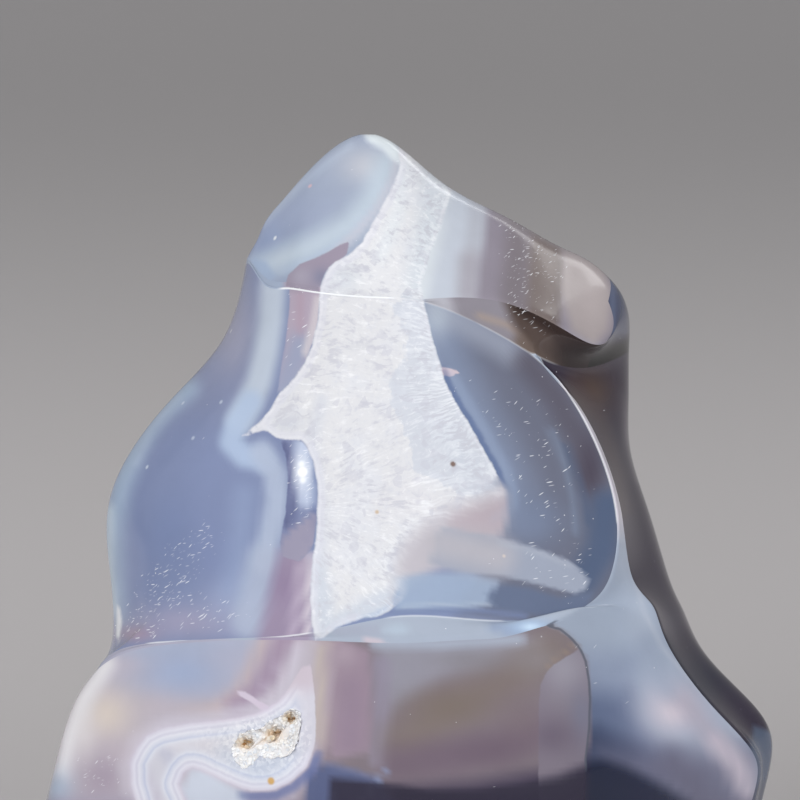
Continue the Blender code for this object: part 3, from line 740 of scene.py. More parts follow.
# The back's ground colour, where the same bands come out on the far side.
BACK_ZONE = [
    ("ground", (140, 150, 182)),
    ("line", [(180, 380), (250, 420), (300, 400), (420, 430), (560, 380),
         (660, 420)], 26, 40, (124, 136, 174), 0.8),
    ("line", [(250, 230), (330, 300), (420, 330), (520, 320), (640, 300)], 16, 30, (168, 178, 200), 0.8),
    ("line", [(90, 560), (200, 530), (330, 560), (480, 540), (600, 580),
         (720, 560)], 14, 22, (172, 186, 212), 0.85),
    ("line", [(60, 650), (200, 630), (350, 660), (520, 640), (740, 670)], 20, 24, (158, 152, 178), 0.85),
    ("line", [(40, 720), (240, 700), (420, 730), (620, 700), (780, 740)], 20, 26, (150, 140, 156), 0.85),
    ("line", [(40, 770), (300, 760), (520, 780), (780, 770)], 8, 10, (186, 186, 202), 0.7),
    ("line", [(20, 850), (400, 850), (790, 850)], 30, 40, (104, 98, 118), 0.8),
    ("spot", (600, 520), (60, 50), (116, 122, 148), 0.7),
    ("spot", (200, 480), (50, 50), (122, 136, 176), 0.6),
]
DRUSE_SHELL_COLOUR = (246, 244, 245)
VUG_PITS = [
    ("spot", (245, 743), (7, 5), (0, 0, 0), 1.0),
    ("spot", (275, 734), (8, 6), (0, 0, 0), 1.0),
    ("spot", (290, 718), (5, 5), (0, 0, 0), 1.0),
]
DRUSE_PIT_COLOUR = (196, 150, 96)
DRUSE_PALE = [(250, 251, 253), (255, 255, 255), (240, 244, 250), (252, 249, 246)]
DRUSE_BROWN = [(206, 160, 104), (220, 184, 134), (176, 130, 82), (228, 204, 164)]
# The backdrop's colour on the floor and high on the wall: the darker wall is painted shade.
PAPER_LOW = (198, 195, 196)
PAPER_HIGH = (148, 146, 147)
WORLD_STRENGTH = 0.24
# The lamps aim here, in metres. The camera's sensor and lens are in millimetres, the angle in degrees.
LIGHT_TARGET = (0, 0, 0.04)
SENSOR_WIDTH = 36.0
LENS = 180.0
SHARP_ANGLE = 42
# The colours that the materials mix in: bands, quartz, wear, stain and a painted ridge highlight.
CURVE_COLOUR = (84, 89, 102)
POCKET_SHADOW_COLOUR = (92, 108, 158)
GRAIN_DARK = (186, 190, 204)
GRAIN_PALE = (244, 244, 246)
GLASSY_COLOUR = (197, 202, 212)
BROAD_COLOUR = (212, 216, 226)
DULL_COLOUR = (192, 193, 203)
FEATHER_COLOUR = (242, 243, 246)
SUGAR_DARK = (198, 202, 214)
SUGAR_PALE = (248, 248, 250)
FROST_COLOUR = (236, 239, 243)
CLEAR_COLOUR = (190, 191, 203)
RIM_COLOUR = (212, 213, 225)
RIM_LINE_COLOUR = (238, 238, 244)
GLOW_COLOUR = (156, 174, 204)
OUTLINE_COLOUR = (86, 106, 148)
SPECK_COLOUR = (224, 226, 232)
SCRATCH_COLOUR = (232, 234, 240)
GLINT_COLOUR = (240, 243, 247)
STAIN_COLOUR = (186, 164, 140)
# Depths in millimetres over which the front's drawing, its ground colour and its light fade out.
FRONT_FADE = (2, 8)
GROUND_FADE = (4, 13)
LIGHT_FADE = (0, 12)
# Distances in pixels over which the vein's soft end, its dark edge, the curve and the shadow fade.
VEIN_SOFT_REACH = (10, 24)
VEIN_OUTLINE_REACH = (12, 20)
CURVE_REACH = (5, 9)
POCKET_SHADOW_REACH = (10, 20)
# A depth in pixels that counts as far outside every shape.
FAR_OUTSIDE = 200.0
PLAIN_SPECKS = 0.04
# Specks: how fine, how large and how many. Scratches: the way they run in radians, and how fine.
SPECK_LAYERS = ((900.0, 0.10, 0.5), (2100.0, 0.16, 0.3))
SCRATCH_LAYERS = ((0.55, 640.0), (0.85, 800.0), (0.15, 720.0))
SCRATCH_STRETCH = (1.0, 1.0, 7.0)
SCRATCH_SHIFT = 0.01
# The samples that each line of a path or edge is measured at, and the blur along the vein in pixels.
SAMPLES_PER_EDGE = 5
STEPS_PER_RUN = 8
ALONG_BLUR = 9.0
# Name, place in metres, size in metres, power in watts, colour, and whether the polish mirrors it.
LIGHTS = [
    ("key", (-0.50, -0.62, 0.80), (0.5, 0.45), 5.8, (1.0, 0.995, 0.985), False),
    ("fill_left", (-0.50, -0.85, 0.22), (0.4, 0.3), 3.2, (1.0, 1.0, 1.0), False),
    ("fill_right", (0.76, -0.62, 0.24), (0.4, 0.35), 4.8, (0.98, 0.985, 1.0), False),
    ("top", (0.25, 0.80, 0.85), (1.1, 0.5), 4.0, (1.0, 1.0, 1.0), True),
    ("back_left", (-0.80, 0.60, 0.35), (0.5, 0.5), 3.0, (1.0, 1.0, 1.0), False),
]
# Between these the front view's light goes over from the lower face's to the right face's.
RIGHT_LIGHT_FROM, RIGHT_LIGHT_TO = 556, 650
# How brightly the studio lights each facet, and how much of the room its polish mirrors.
BACK_LIGHT = (1.0, 0.02)
FACET_LIGHT = {
    "upper": (1.05, 0.020),
    "corner": (0.90, 0.030),
    "flute": (1.11, 0.014),
    "front": (1.13, 0.014),
    "sliver": (0.80, 0.020),
    "strip": (0.80, 0.020),
    "waist": (1.11, 0.014),
    "lower": (1.09, 0.014),
}


def true_place(point):
    """The true place of a front-view point: what is nearer the eye looks larger, so it is drawn in."""
    across, up, depth = point
    drawn_in = 1.0 + depth / VIEW_DISTANCE
    return Vector((across * drawn_in, depth, VIEW_HEIGHT + (up - VIEW_HEIGHT) * drawn_in))


def ground_smooth(block, crown):
    """Fills a block of rows between its four sides, as a wheel does, and crowns it towards the front."""
    rows, columns = len(block) - 1, len(block[0]) - 1
    for i in range(1, rows):
        down = i / rows
        for j in range(1, columns):
            right = j / columns
            between_rows = block[0][j].lerp(block[rows][j], down)
            between_columns = block[i][0].lerp(block[i][columns], right)
            top = block[0][0].lerp(block[0][columns], right)
            bottom = block[rows][0].lerp(block[rows][columns], right)
            swell = 16 * down * (1 - down) * right * (1 - right)
            point = between_rows + between_columns - top.lerp(bottom, down)
            block[i][j] = point + Vector((0, -crown * swell, 0))


def front_rows():
    """The rows of the front in true millimetres, the ground faces filled in."""
    drawn = [
        UPPER_FACE,
        UPPER_FACE_EDGE,
        BROW_RIDGE,
        FRONT_FACE_1,
        FRONT_FACE_2,
        FRONT_FACE_3,
        FRONT_FACE_4,
        WAIST_RIDGE,
        WAIST_BEVEL,
        LOWER_FACE_1,
        LOWER_FACE_2,
        LOWER_FACE_3,
    ]
    rows = [[true_place(p) if p else None for p in row] for row in drawn]
    rows.append([Vector((x, y, z)) for x, z, y in FOOT_EDGE])
    for first, last, crown in ((2, 7, 1.2), (8, 12, 1.5)):
        block = [row[1:7] for row in rows[first : last + 1]]
        ground_smooth(block, crown)
        for row, filled in zip(rows[first : last + 1], block):
            row[1:7] = filled
    return rows


def smooth_curve(height, heights, values):
    """A smooth line through the values: the mean of straight runs over a window of heights."""
    window = [height + offset for offset in range(-8, 9, 2)]
    return float(np.interp(window, heights, values).mean())


def back_point(column, level, left, right, outline):
    """A point behind the outline: two ground faces that meet on a spine that leans with height."""
    if column <= SPINE_COLUMN:
        share = column / SPINE_COLUMN
        rise = share * (1.45 - 0.45 * share)
        near = left
    else:
        share = (LAST - column) / (LAST - SPINE_COLUMN)
        rise = share * (1.9 - 0.9 * share)
        near = right
    row_level = left.z + (right.z - left.z) * column / LAST
    z = row_level + (level - row_level) * min(1.0, 2 * share)
    spine = smooth_curve(z, BACK_HEIGHTS, SPINE_ACROSS)
    depth = smooth_curve(z, BACK_HEIGHTS, BACK_DEPTHS)
    edge = near.x + (smooth_curve(z, *outline[near is right]) - near.x) * min(1.0, 2 * share)
    y = left.y + (right.y - left.y) * column / LAST
    return Vector((edge + (spine - edge) * share, y + depth * rise, z))


def back_rows(rows, crest):
    """The rows of the back, spaced evenly down each column between the crest and the foot."""
    lefts = [row[0] or crest[0] for row in rows]
    rights = [row[LAST] or crest[-1] for row in rows]
    outline = [
        ([p.z for p in reversed(side)], [p.x for p in reversed(side)]) for side in (lefts, rights)
    ]
    behind = []
    for number, (left, right) in enumerate(zip(lefts, rights)):
        fall = (number + 1) / len(rows)
        points = []
        for column in range(1, LAST):
            top = crest[column - 1].z
            foot = rows[-1][column].z
            points.append(back_point(column, top + (foot - top) * fall, left, right, outline))
        behind.append(points)
    return behind


def stone_cage():
    """The cage's points, its faces, its creased lines, and which points the polish must pass through."""
    points, faces, creases = [], [], {}

    def add(vector):
        points.append(vector)
        return len(points) - 1

    rows = front_rows()
    crest = [add(true_place(p)) for p in CREST]
    front, back = [], []
    for row, behind in zip(rows, back_rows(rows, points[:])):
        left = add(row[0]) if row[0] else crest[0]
        right = add(row[LAST]) if row[LAST] else crest[-1]
        front.append([left] + [add(p) for p in row[1:LAST]] + [right])
        back.append([left] + [add(p) for p in behind] + [right])

    # The crest strip, then the rows below it. The crest's ends are also the first row's ends.
    for j in range(1, LAST - 1):
        faces.append((crest[j - 1], front[0][j], front[0][j + 1], crest[j]))
        faces.append((crest[j], back[0][j + 1], back[0][j], crest[j - 1]))
    for i in range(len(rows) - 1):
        for j in range(LAST):
            above, below = front[i], front[i + 1]
            faces.append((above[j], below[j], below[j + 1], above[j + 1]))
            above, below = back[i], back[i + 1]
            faces.append((above[j + 1], below[j + 1], below[j], above[j]))

    # The foot: a bevel under the last row, and one flat face.
    rim = front[-1] + back[-1][LAST - 1 : 0 : -1]
    middle = sum((points[k] for k in rim), Vector()) / len(rim)
    foot = []
    for k in rim:
        inward = (middle - points[k]).normalized() * FOOT_BEVEL
        foot.append(add(Vector((points[k].x + inward.x, points[k].y + inward.y, 0))))
    for k in range(len(rim)):
        after = (k + 1) % len(rim)
        faces.append((rim[k], foot[k], foot[after], rim[after]))
    faces.append(tuple(reversed(foot)))

    def crease(line, sharpness):
        for a, b in zip(line, line[1:]):
            creases[frozenset((a, b))] = sharpness

    crease(crest, 0.35)
    crease(front[1][4:9], 0.5)
    crease(front[2][0:7], 0.62)
    crease([front[i][6] for i in range(2, 8)], 0.62)
    crease([front[i][7] for i in range(3, 13)], 0.6)
    crease([front[i][8] for i in range(0, 2)], 0.5)
    crease(front[7][1:7], 0.6)
    crease(front[8][1:6], 0.45)
    crease([front[i][1] for i in range(6, 13)], 0.55)
    crease([back[i][SPINE_COLUMN] for i in range(0, 13)], 0.45)
    crease(foot + foot[:1], 1.0)

    # The ground faces, the foot and the back are free: the polish only has to run smoothly there.
    drawn = set(crest)
    for i, row in enumerate(front[:-1]):
        ground = (3 <= i <= 6) or (9 <= i <= 11)
        drawn.update(k for j, k in enumerate(row) if not ground or j in (0, 1, 6, 7, LAST))
    return points, faces, creases, drawn


def cage_object(name, points, faces, creases):
    """A mesh object of the cage, with its creases and its subdivision."""
    mesh = bpy.data.meshes.new(name)
    mesh.from_pydata([p * MM for p in points], [], faces)
    attribute = mesh.attributes.new("crease_edge", "FLOAT", "EDGE")
    for edge in mesh.edges:
        attribute.data[edge.index].value = creases.get(frozenset(edge.vertices), 0.0)
    obj = bpy.data.objects.new(name, mesh)
    obj.modifiers.new("polish", "SUBSURF")
    obj.modifiers["polish"].levels = CAD_LEVELS
    obj.modifiers["polish"].render_levels = CAD_LEVELS
    return obj


def fit_to_points(obj, points, drawn):
    """Moves the cage until the smooth surface passes through the drawn points."""
    for _ in range(FIT_ROUNDS):
        bpy.context.view_layer.update()
        graph = bpy.context.evaluated_depsgraph_get()
        smooth = obj.evaluated_get(graph).to_mesh()
        reached = [smooth.vertices[k].co.copy() for k in range(len(points))]
        obj.evaluated_get(graph).to_mesh_clear()
        for k in drawn:
            obj.data.vertices[k].co += points[k] * MM - reached[k]
        obj.data.update()


def facet_of(row, column):
    """Which ground facet of the front a cage face belongs to, by its row and column."""
    if row <= 1:
        return "corner" if column == 8 else ("upper" if row == 0 else "flute")
    if column >= 7:
        return "strip"
    if column == 6:
        return "sliver"
    if row < 7:
        return "front"
    return "waist" if row == 7 else "lower"


def cage_facets():
    """The facet of each cage face, in the order of stone_cage(), and whether it faces the front."""
    facets = []
    for _ in range(1, LAST - 1):
        facets += [("upper", True), ("upper", False)]
    for row in range(12):
        for column in range(LAST):
            back_column = 0 if column <= SPINE_COLUMN else LAST - 1
            facets += [(facet_of(row, column), True), (facet_of(row, back_column), False)]
    facets += [("lower", True)] * 10 + [("lower", False)] * 8 + [("lower", False)]
    return facets


def evaluated_copy(obj, name):
    """A mesh object of what an object's modifiers make."""
    bpy.context.view_layer.update()
    graph = bpy.context.evaluated_depsgraph_get()
    mesh = bpy.data.meshes.new_from_object(obj.evaluated_get(graph), depsgraph=graph)
    mesh.name = name
    made = bpy.data.objects.new(name, mesh)
    bpy.context.scene.collection.objects.link(made)
    return made


def nearest_on_axis(point):
    """The place on the vug's long axis that is nearest to a point of its mouth."""
    start, end = VUG_AXIS
    run = (end[0] - start[0], end[1] - start[1])
    along = (point[0] - start[0]) * run[0] + (point[1] - start[1]) * run[1]
    share = min(1.0, max(0.0, along / (run[0] ** 2 + run[1] ** 2)))
    return (start[0] + run[0] * share, start[1] + run[1] * share)


def on_stone(stone, across, up):
    """The place and the outward direction of the surface behind a point of the front view."""
    eye = Vector((0, -VIEW_DISTANCE, VIEW_HEIGHT)) * MM
    toward = (true_place((across, up, 0)) * MM - eye).normalized()
    graph = bpy.context.evaluated_depsgraph_get()
    _, place, outward, _ = stone.evaluated_get(graph).ray_cast(eye, toward)
    return place / MM, outward


def vug_frame(stone):
    """Where the vug opens in the polished face, and the side, up and outward axes of its mouth."""
    middle = [(a + b) / 2 for a, b in zip(*VUG_AXIS)]
    place, outward = on_stone(stone, *middle)
    side = Vector((1, 0, 0))
    side = (side - outward * side.dot(outward)).normalized()
    return place, side, outward.cross(side), outward


def mouth_place(frame, point, height):
    """A point of the front view, laid on the plane of the vug's mouth and raised along its outward."""
    place, side, up, outward = frame
    drawn_in = 1.0 + place.y / VIEW_DISTANCE
    across = (point[0] - (VUG_AXIS[0][0] + VUG_AXIS[1][0]) / 2) * drawn_in / side.x
    above = (point[1] - (VUG_AXIS[0][1] + VUG_AXIS[1][1]) / 2) * drawn_in / up.z
    return place + side * across + up * above + outward * height


def ragged_mouth():
    """The vug's mouth as many points, a little ragged."""
    corners = VUG_MOUTH + VUG_MOUTH[:1]
    lengths = [math.dist(a, b) for a, b in zip(corners, corners[1:])]
    reached = [sum(lengths[:k]) for k in range(len(corners))]
    points = []
    for k in range(VUG_MOUTH_POINTS):
        at = reached[-1] * k / VUG_MOUTH_POINTS
        x = np.interp(at, reached, [c[0] for c in corners])
        y = np.interp(at, reached, [c[1] for c in corners])
        # noise_vector would shift with each session's own seed, so each direction takes plain noise.
        swell = [noise.noise((x * 2.2, y * 2.2, VUG_SEED + offset)) for offset in MOUTH_OFFSETS]
        points.append((x + swell[0] * MOUTH_SWELL, y + swell[1] * MOUTH_SWELL))
    return points


def stain_at(point):
    """How deep in a brown pit a front-view point in millimetres is, from 0 to 1."""
    place = np.array([(VIEW_CENTRE + VIEW_SCALE * point[0], GROUND_LINE - VIEW_SCALE * point[1])])
    return max(float(layer_share(place, pit)[0][0]) for pit in VUG_PITS)


def vug_rings(frame, depth_at, inset, rim_height):
    """The rings of the vug's bowl, from its rim down to the edge of its floor."""
    rings = []
    mouth = ragged_mouth()
    for number in range(VUG_RINGS):
        turned = math.radians(84) * max(0, number - 1) / (VUG_RINGS - 2)
        reach = math.cos(turned) ** 0.6 if number > 1 else 1.0
        held_in = min(1.0, max(0, number - 1) / 3)
        ring = []
        for point in mouth:
            axis = nearest_on_axis(point)
            here = [a + (p - a) * reach for a, p in zip(axis, point)]
            bump = noise.noise((here[0] * 1.4, here[1] * 1.4, VUG_SEED))
            depth = depth_at(here) * math.sin(turned) * (1 + 0.3 * bump * held_in)
            height = rim_height if number == 0 else -depth
            wall = mouth_place(frame, point, height)
            middle = mouth_place(frame, axis, height)
            ring.append(middle.lerp(wall, reach * (1 - inset / (wall - middle).length)))
        rings.append(ring)
    return rings


def bowl_object(name, rings, closed):
    """A bowl over rings of points, with a lid if it is closed."""
    bm = bmesh.new()
    rings = [[bm.verts.new(point * MM) for point in ring] for ring in rings]
    for upper, lower in zip(rings, rings[1:]):
        for k in range(len(upper)):
            after = (k + 1) % len(upper)
            bm.faces.new((upper[k], upper[after], lower[after], lower[k]))
    bm.faces.new(rings[-1])
    if closed:
        bm.faces.new(rings[0])
    bmesh.ops.recalc_face_normals(bm, faces=bm.faces)
    mesh = bpy.data.meshes.new(name)
    bm.to_mesh(mesh)
    bm.free()
    made = bpy.data.objects.new(name, mesh)
    bpy.context.scene.collection.objects.link(made)
    return made


def linear(colour):
    """Linear light from sRGB values of 0 to 255."""
    value = np.asarray(colour, float) / 255.0
    return np.where(value <= 0.04045, value / 12.92, ((value + 0.055) / 1.055) ** 2.4)


def smooth_step(value, low, high):
    """A smooth rise from 0 at low to 1 at high."""
    share = np.clip((value - low) / (high - low), 0, 1)
    return share * share * (3 - 2 * share)


def line_distance(places, path):
    """How far each place is from a path."""
    nearest = np.full(len(places), np.inf)
    for a, b in zip(path, path[1:]):
        start = np.array(a, float)
        run = np.array(b, float) - start
        share = np.clip((places - start) @ run / (run @ run), 0, 1)
        nearest = np.minimum(nearest, np.linalg.norm(places - start - share[:, None] * run, axis=1))
    return nearest


def area_depth(places, outline):
    """How far inside an outline each place is, and below 0 outside it."""
    closed = list(outline) + [outline[0]]
    inside = np.zeros(len(places), bool)
    for (ax, ay), (bx, by) in zip(closed, closed[1:]):
        if ay != by:
            crosses = (ay > places[:, 1]) != (by > places[:, 1])
            inside ^= crosses & (places[:, 0] < (bx - ax) * (places[:, 1] - ay) / (by - ay) + ax)
    return np.where(inside, 1, -1) * line_distance(places, closed)


def layer_share(places, layer):
    """How strongly a recipe's layer covers each place, and its colour."""
    kind = layer[0]
    if kind == "area":
        _, outline, softness, colour, strength = layer
        share = smooth_step(area_depth(places, outline), -softness, softness)
    elif kind == "line":
        _, path, width, softness, colour, strength = layer
        share = 1 - smooth_step(line_distance(places, path), width - softness / 2, width + softness)
    else:
        _, centre, radii, colour, strength = layer
        away = (places - np.array(centre, float)) / np.array(radii, float)
        share = np.exp(-(away**2).sum(axis=1))
    return share * strength, colour


def painted(places, recipe):
    """The sRGB colour that a recipe gives each place of the front view."""
    colour = np.tile(np.array(recipe[0][1], float), (len(places), 1))
    for layer in recipe[1:]:
        share, laid = layer_share(places, layer)
        colour += share[:, None] * (np.array(laid, float) - colour)
    return colour


def front_view(points):
    """Where points in metres are seen in picture pixels. Behind the outline the pattern drifts."""
    across, depth, up = (points / MM).T
    drawn_in = 1 + depth / VIEW_DISTANCE
    across = across / drawn_in
    up = VIEW_HEIGHT + (up - VIEW_HEIGHT) / drawn_in
    drift = np.clip((depth - 2) / 20, 0, 1)
    across, up = (
        across + drift * (-4 + 3 * np.sin(up / 9)),
        up + drift * 4 * np.sin(across / 11 + 1),
    )
    return np.stack([VIEW_CENTRE + VIEW_SCALE * across, GROUND_LINE - VIEW_SCALE * up], axis=1)


ZONES = {
    "upper": UPPER_ZONE,
    "corner": CORNER_ZONE,
    "flute": FLUTE_ZONE,
    "front": FRONT_ZONE,
    "sliver": SLIVER_ZONE,
    "strip": STRIP_ZONE,
    "waist": WAIST_ZONE,
    "lower": LOWER_ZONE,
}
FACET_NAMES = list(ZONES)


def points_of(mesh):
    """The mesh's points as rows of x, y and z in metres."""
    points = np.empty(len(mesh.vertices) * 3)
    mesh.vertices.foreach_get("co", points)
    return points.reshape(-1, 3)


def corner_values(mesh, kind):
    """One whole number for each corner of the mesh, such as its point's."""
    values = np.empty(len(mesh.loops), int)
    mesh.loops.foreach_get(kind, values)
    return values


def add_values(mesh, name, values):
    """Adds a number for each point, for a material to read."""
    attribute = mesh.attributes.new(name, "FLOAT", "POINT")
    attribute.data.foreach_set("value", values.astype(np.float32))


def add_colour(mesh, name, srgb, light):
    """Adds a corner colour: the sRGB colour to be seen, less what the facet mirrors of the room."""
    attribute = mesh.attributes.new(name, "FLOAT_COLOR", "CORNER")
    rgba = np.ones((len(srgb), 4))
    seen = linear(np.clip(srgb, 0, 255))
    rgba[:, :3] = np.clip((seen - light[:, 1:]) / light[:, :1], 0.003, 0.97)
    attribute.data.foreach_set("color", rgba.astype(np.float32).ravel())


def facets_at_corners(mesh):
    """The facet number at each corner: the back's facets come after the front's."""
    facets = np.empty(len(mesh.polygons), np.int32)
    mesh.attributes["facet"].data.foreach_get("value", facets)
    sizes = np.empty(len(mesh.polygons), int)
    mesh.polygons.foreach_get("loop_total", sizes)
    return np.repeat(facets, sizes)


def facet_light(mesh):
    """How each corner is lit and what it mirrors, after FACET_LIGHT; the back is taken as plain."""
    numbers = facets_at_corners(mesh)
    table = np.array([FACET_LIGHT[name] for name in FACET_NAMES])
    points = points_of(mesh)
    corner_vertex = corner_values(mesh, "vertex_index")
    fade = smooth_step(points[:, 1] / MM, *LIGHT_FADE)[corner_vertex]
    light = table[numbers % len(FACET_NAMES)]
    joined = np.isin(numbers, [FACET_NAMES.index(name) for name in ("lower", "sliver", "waist")])
    right = smooth_step(front_view(points)[:, 0], RIGHT_LIGHT_FROM, RIGHT_LIGHT_TO)[corner_vertex]
    across = table[FACET_NAMES.index("lower")] + right[:, None] * (
        table[FACET_NAMES.index("sliver")] - table[FACET_NAMES.index("lower")]
    )
    light[joined] = across[joined]
    return light + fade[:, None] * (np.array(BACK_LIGHT) - light)


def paint_zones(mesh, light):
    """Lays the ground colour of every facet on the mesh's corners, painted shade and reflections included."""
    points = points_of(mesh)
    places = front_view(points)
    corner_facet = facets_at_corners(mesh)
    corner_vertex = corner_values(mesh, "vertex_index")
    srgb = np.zeros((len(corner_vertex), 3))
    for number, name in enumerate(FACET_NAMES):
        chosen = corner_facet % len(FACET_NAMES) == number
        used, back_to = np.unique(corner_vertex[chosen], return_inverse=True)
        colour = painted(places[used], ZONES[name])
        if name in ("lower", "waist"):
            share = smooth_step(area_depth(places[used], RIGHT_OF_CURVE), -2, 3)
            colour += share[:, None] * (painted(places[used], SLIVER_ZONE) - colour)
        srgb[chosen] = colour[back_to]
    fade = smooth_step(points[:, 1] / MM, *GROUND_FADE)[corner_vertex]
    behind = painted(places, BACK_ZONE)[corner_vertex]
    srgb += (fade * (corner_facet >= len(FACET_NAMES)))[:, None] * (behind - srgb)
    add_colour(mesh, "ground_colour", srgb, light)


def ridge_distance(mesh):
    """How far each point is from the nearest line where two facets meet, in millimetres."""
    edges = corner_values(mesh, "edge_index")
    corner_facet = facets_at_corners(mesh)
    low = np.full(len(mesh.edges), 99)
    high = np.full(len(mesh.edges), -1)
    np.minimum.at(low, edges, corner_facet)
    np.maximum.at(high, edges, corner_facet)
    ends = np.empty(len(mesh.edges) * 2, int)
    mesh.edges.foreach_get("vertices", ends)
    thin = (low == FACET_NAMES.index("upper")) & (high == FACET_NAMES.index("flute"))
    thin |= (low == FACET_NAMES.index("waist")) & (high == FACET_NAMES.index("lower"))
    ends = ends.reshape(-1, 2)[(low != high) & (high < len(FACET_NAMES)) & ~thin]
    points = points_of(mesh) / MM
    tree = KDTree(len(ends) * SAMPLES_PER_EDGE)
    for number, (a, b) in enumerate(ends):
        for k in range(SAMPLES_PER_EDGE):
            share = k / (SAMPLES_PER_EDGE - 1)
            tree.insert(points[a] + (points[b] - points[a]) * share, number)
    tree.balance()
    return np.array([tree.find(point)[2] for point in points])


def paint_fields(mesh, light):
    """Lays the crisp shapes, the vein and the marks' fields on the mesh's points."""
    points = points_of(mesh)
    corner_vertex = corner_values(mesh, "vertex_index")
    places = front_view(points)
    front = 1 - smooth_step(points[:, 1] / MM, *FRONT_FADE)

    crisp = np.full(len(places), -FAR_OUTSIDE)
    for outline in CRISP_SHAPES.values():
        crisp = np.maximum(crisp, area_depth(places, outline))
    add_colour(mesh, "crisp_colour", painted(places, CRISP_ZONE)[corner_vertex], light)
    add_values(mesh, "crisp_depth", crisp - FAR_OUTSIDE * (1 - front))

    add_colour(mesh, "vein_colour", painted(places, VEIN_ZONE)[corner_vertex], light)
    soft = 1 - smooth_step(line_distance(places, VEIN_SOFT), *VEIN_SOFT_REACH)
    add_values(mesh, "vein_soft", np.maximum(soft * front, 1 - front))
    closing = VEIN_CLOSES * smooth_step(points[:, 1] / MM, *VEIN_CLOSING)
    add_values(mesh, "vein_depth", area_depth(places, VEIN_SHAPE) - closing)
    left = line_distance(places, VEIN_LEFT)
    right = line_distance(places, VEIN_RIGHT)
    add_values(mesh, "vein_across", (left - right) / (left + right + 1))
    add_values(mesh, "vein_along", along_line(places, VEIN_LINE))
    dark_edge = 1 - smooth_step(line_distance(places, VEIN_OUTLINE), *VEIN_OUTLINE_REACH)
    add_values(mesh, "vein_outline", front * dark_edge)
    add_values(mesh, "glassy_depth", area_depth(places, VEIN_GLASSY) - FAR_OUTSIDE * (1 - front))
    add_values(mesh, "curve_depth", area_depth(places, RIGHT_OF_CURVE))
    on_curve = 1 - smooth_step(line_distance(places, CURVE), *CURVE_REACH)
    add_values(mesh, "curve_share", front * on_curve)
    granular = layer_share(places, VUG_GRAINS)[0] * front
    add_values(mesh, "granular", granular)
    add_values(mesh, "pocket_depth", area_depth(places, CRISP_SHAPES["pocket"]))
    add_values(mesh, "pocket_share", front * layer_share(places, POCKET_BANDED)[0])
    shadow = 1 - smooth_step(line_distance(places, POCKET_SHADOW), *POCKET_SHADOW_REACH)
    add_values(mesh, "pocket_shadow", front * shadow)

    specks = np.full(len(places), PLAIN_SPECKS)
    for outline, softness, strength in SPECKLED:
        share = smooth_step(area_depth(places, outline), -softness, softness) * strength * front
        specks = np.maximum(specks, share)
    add_values(mesh, "specks", specks)

    glint = np.zeros(len(places))
    for path, strength in GLINTS:
        share = 1 - smooth_step(line_distance(places, path), GLINT_REACH / 2, GLINT_REACH)
        glint = np.maximum(glint, share * strength * front)
    add_values(mesh, "glint", glint)
    add_values(mesh, "ridge", ridge_distance(mesh))


def along_line(places, path):
    """A smooth measure of how far along a path each place is, in pixels."""
    total, weight = np.zeros(len(places)), np.zeros(len(places))
    reached = 0.0
    nearest = line_distance(places, path)
    for a, b in zip(path, path[1:]):
        run = math.dist(a, b)
        for k in range(STEPS_PER_RUN):
            share = k / STEPS_PER_RUN
            spot = np.array(a, float) * (1 - share) + np.array(b, float) * share
            away = np.linalg.norm(places - spot, axis=1)
            pull = np.exp(-((away - nearest) / ALONG_BLUR))
            total += pull * (reached + run * share)
            weight += pull
        reached += run
    return total / weight


class Graph:
    """A material's shader nodes, built by name."""

    def __init__(self, name):
        self.material = bpy.data.materials.new(name)
        self.material.use_nodes = True
        self.tree = self.material.node_tree
        self.shader = self.tree.nodes["Principled BSDF"]

    def node(self, kind, inputs=(), **settings):
        """Makes a node, with its settings and its sockets' values or links."""
        made = self.tree.nodes.new(kind)
        for key, value in settings.items():
            setattr(made, key, value)
        for socket, value in dict(inputs).items():
            self.put(made.inputs[socket], value)
        return made

    def put(self, socket, value):
        """Links a socket, or sets its plain value."""
        if isinstance(value, bpy.types.NodeSocket):
            self.tree.links.new(value, socket)
        else:
            socket.default_value = value

    def value(self, name):
        """Reads a number that lies on the mesh."""
        return self.node("ShaderNodeAttribute", attribute_name=name).outputs["Fac"]

    def colour(self, name):
        """Reads a colour that lies on the mesh."""
        return self.node("ShaderNodeAttribute", attribute_name=name).outputs["Color"]

    def math(self, operation, a, b=0.0):
        return self.node("ShaderNodeMath", {0: a, 1: b}, operation=operation).outputs[0]

    def times(self, a, b):
        return self.math("MULTIPLY", a, b)

    def plus(self, a, b):
        return self.math("ADD", a, b)

    def minus(self, a, b):
        return self.math("SUBTRACT", a, b)

    def step(self, value, low, high):
        """A smooth rise from 0 at low to 1 at high."""
        made = self.node(
            "ShaderNodeMapRange",
            {"Value": value, "From Min": low, "From Max": high},
            interpolation_type="SMOOTHSTEP",
        )
        return made.outputs["Result"]

    def mix(self, share, a, b, blend="MIX"):
        made = self.tree.nodes.new("ShaderNodeMix")
        made.data_type = "RGBA"
        made.blend_type = blend
        self.put(made.inputs[0], share)
        self.put(made.inputs[6], a)
        self.put(made.inputs[7], b)
        return made.outputs[2]

    def noise(self, vector, scale, detail=3.0, rough=0.55):
        made = self.node(
            "ShaderNodeTexNoise",
            {"Vector": vector, "Scale": scale, "Detail": detail, "Roughness": rough},
        )
        return made.outputs["Fac"]


def rgba(colour):
    """An sRGB colour of 0 to 255 as the linear one that a shader takes."""
    return (*[float(c) for c in linear(colour)], 1.0)


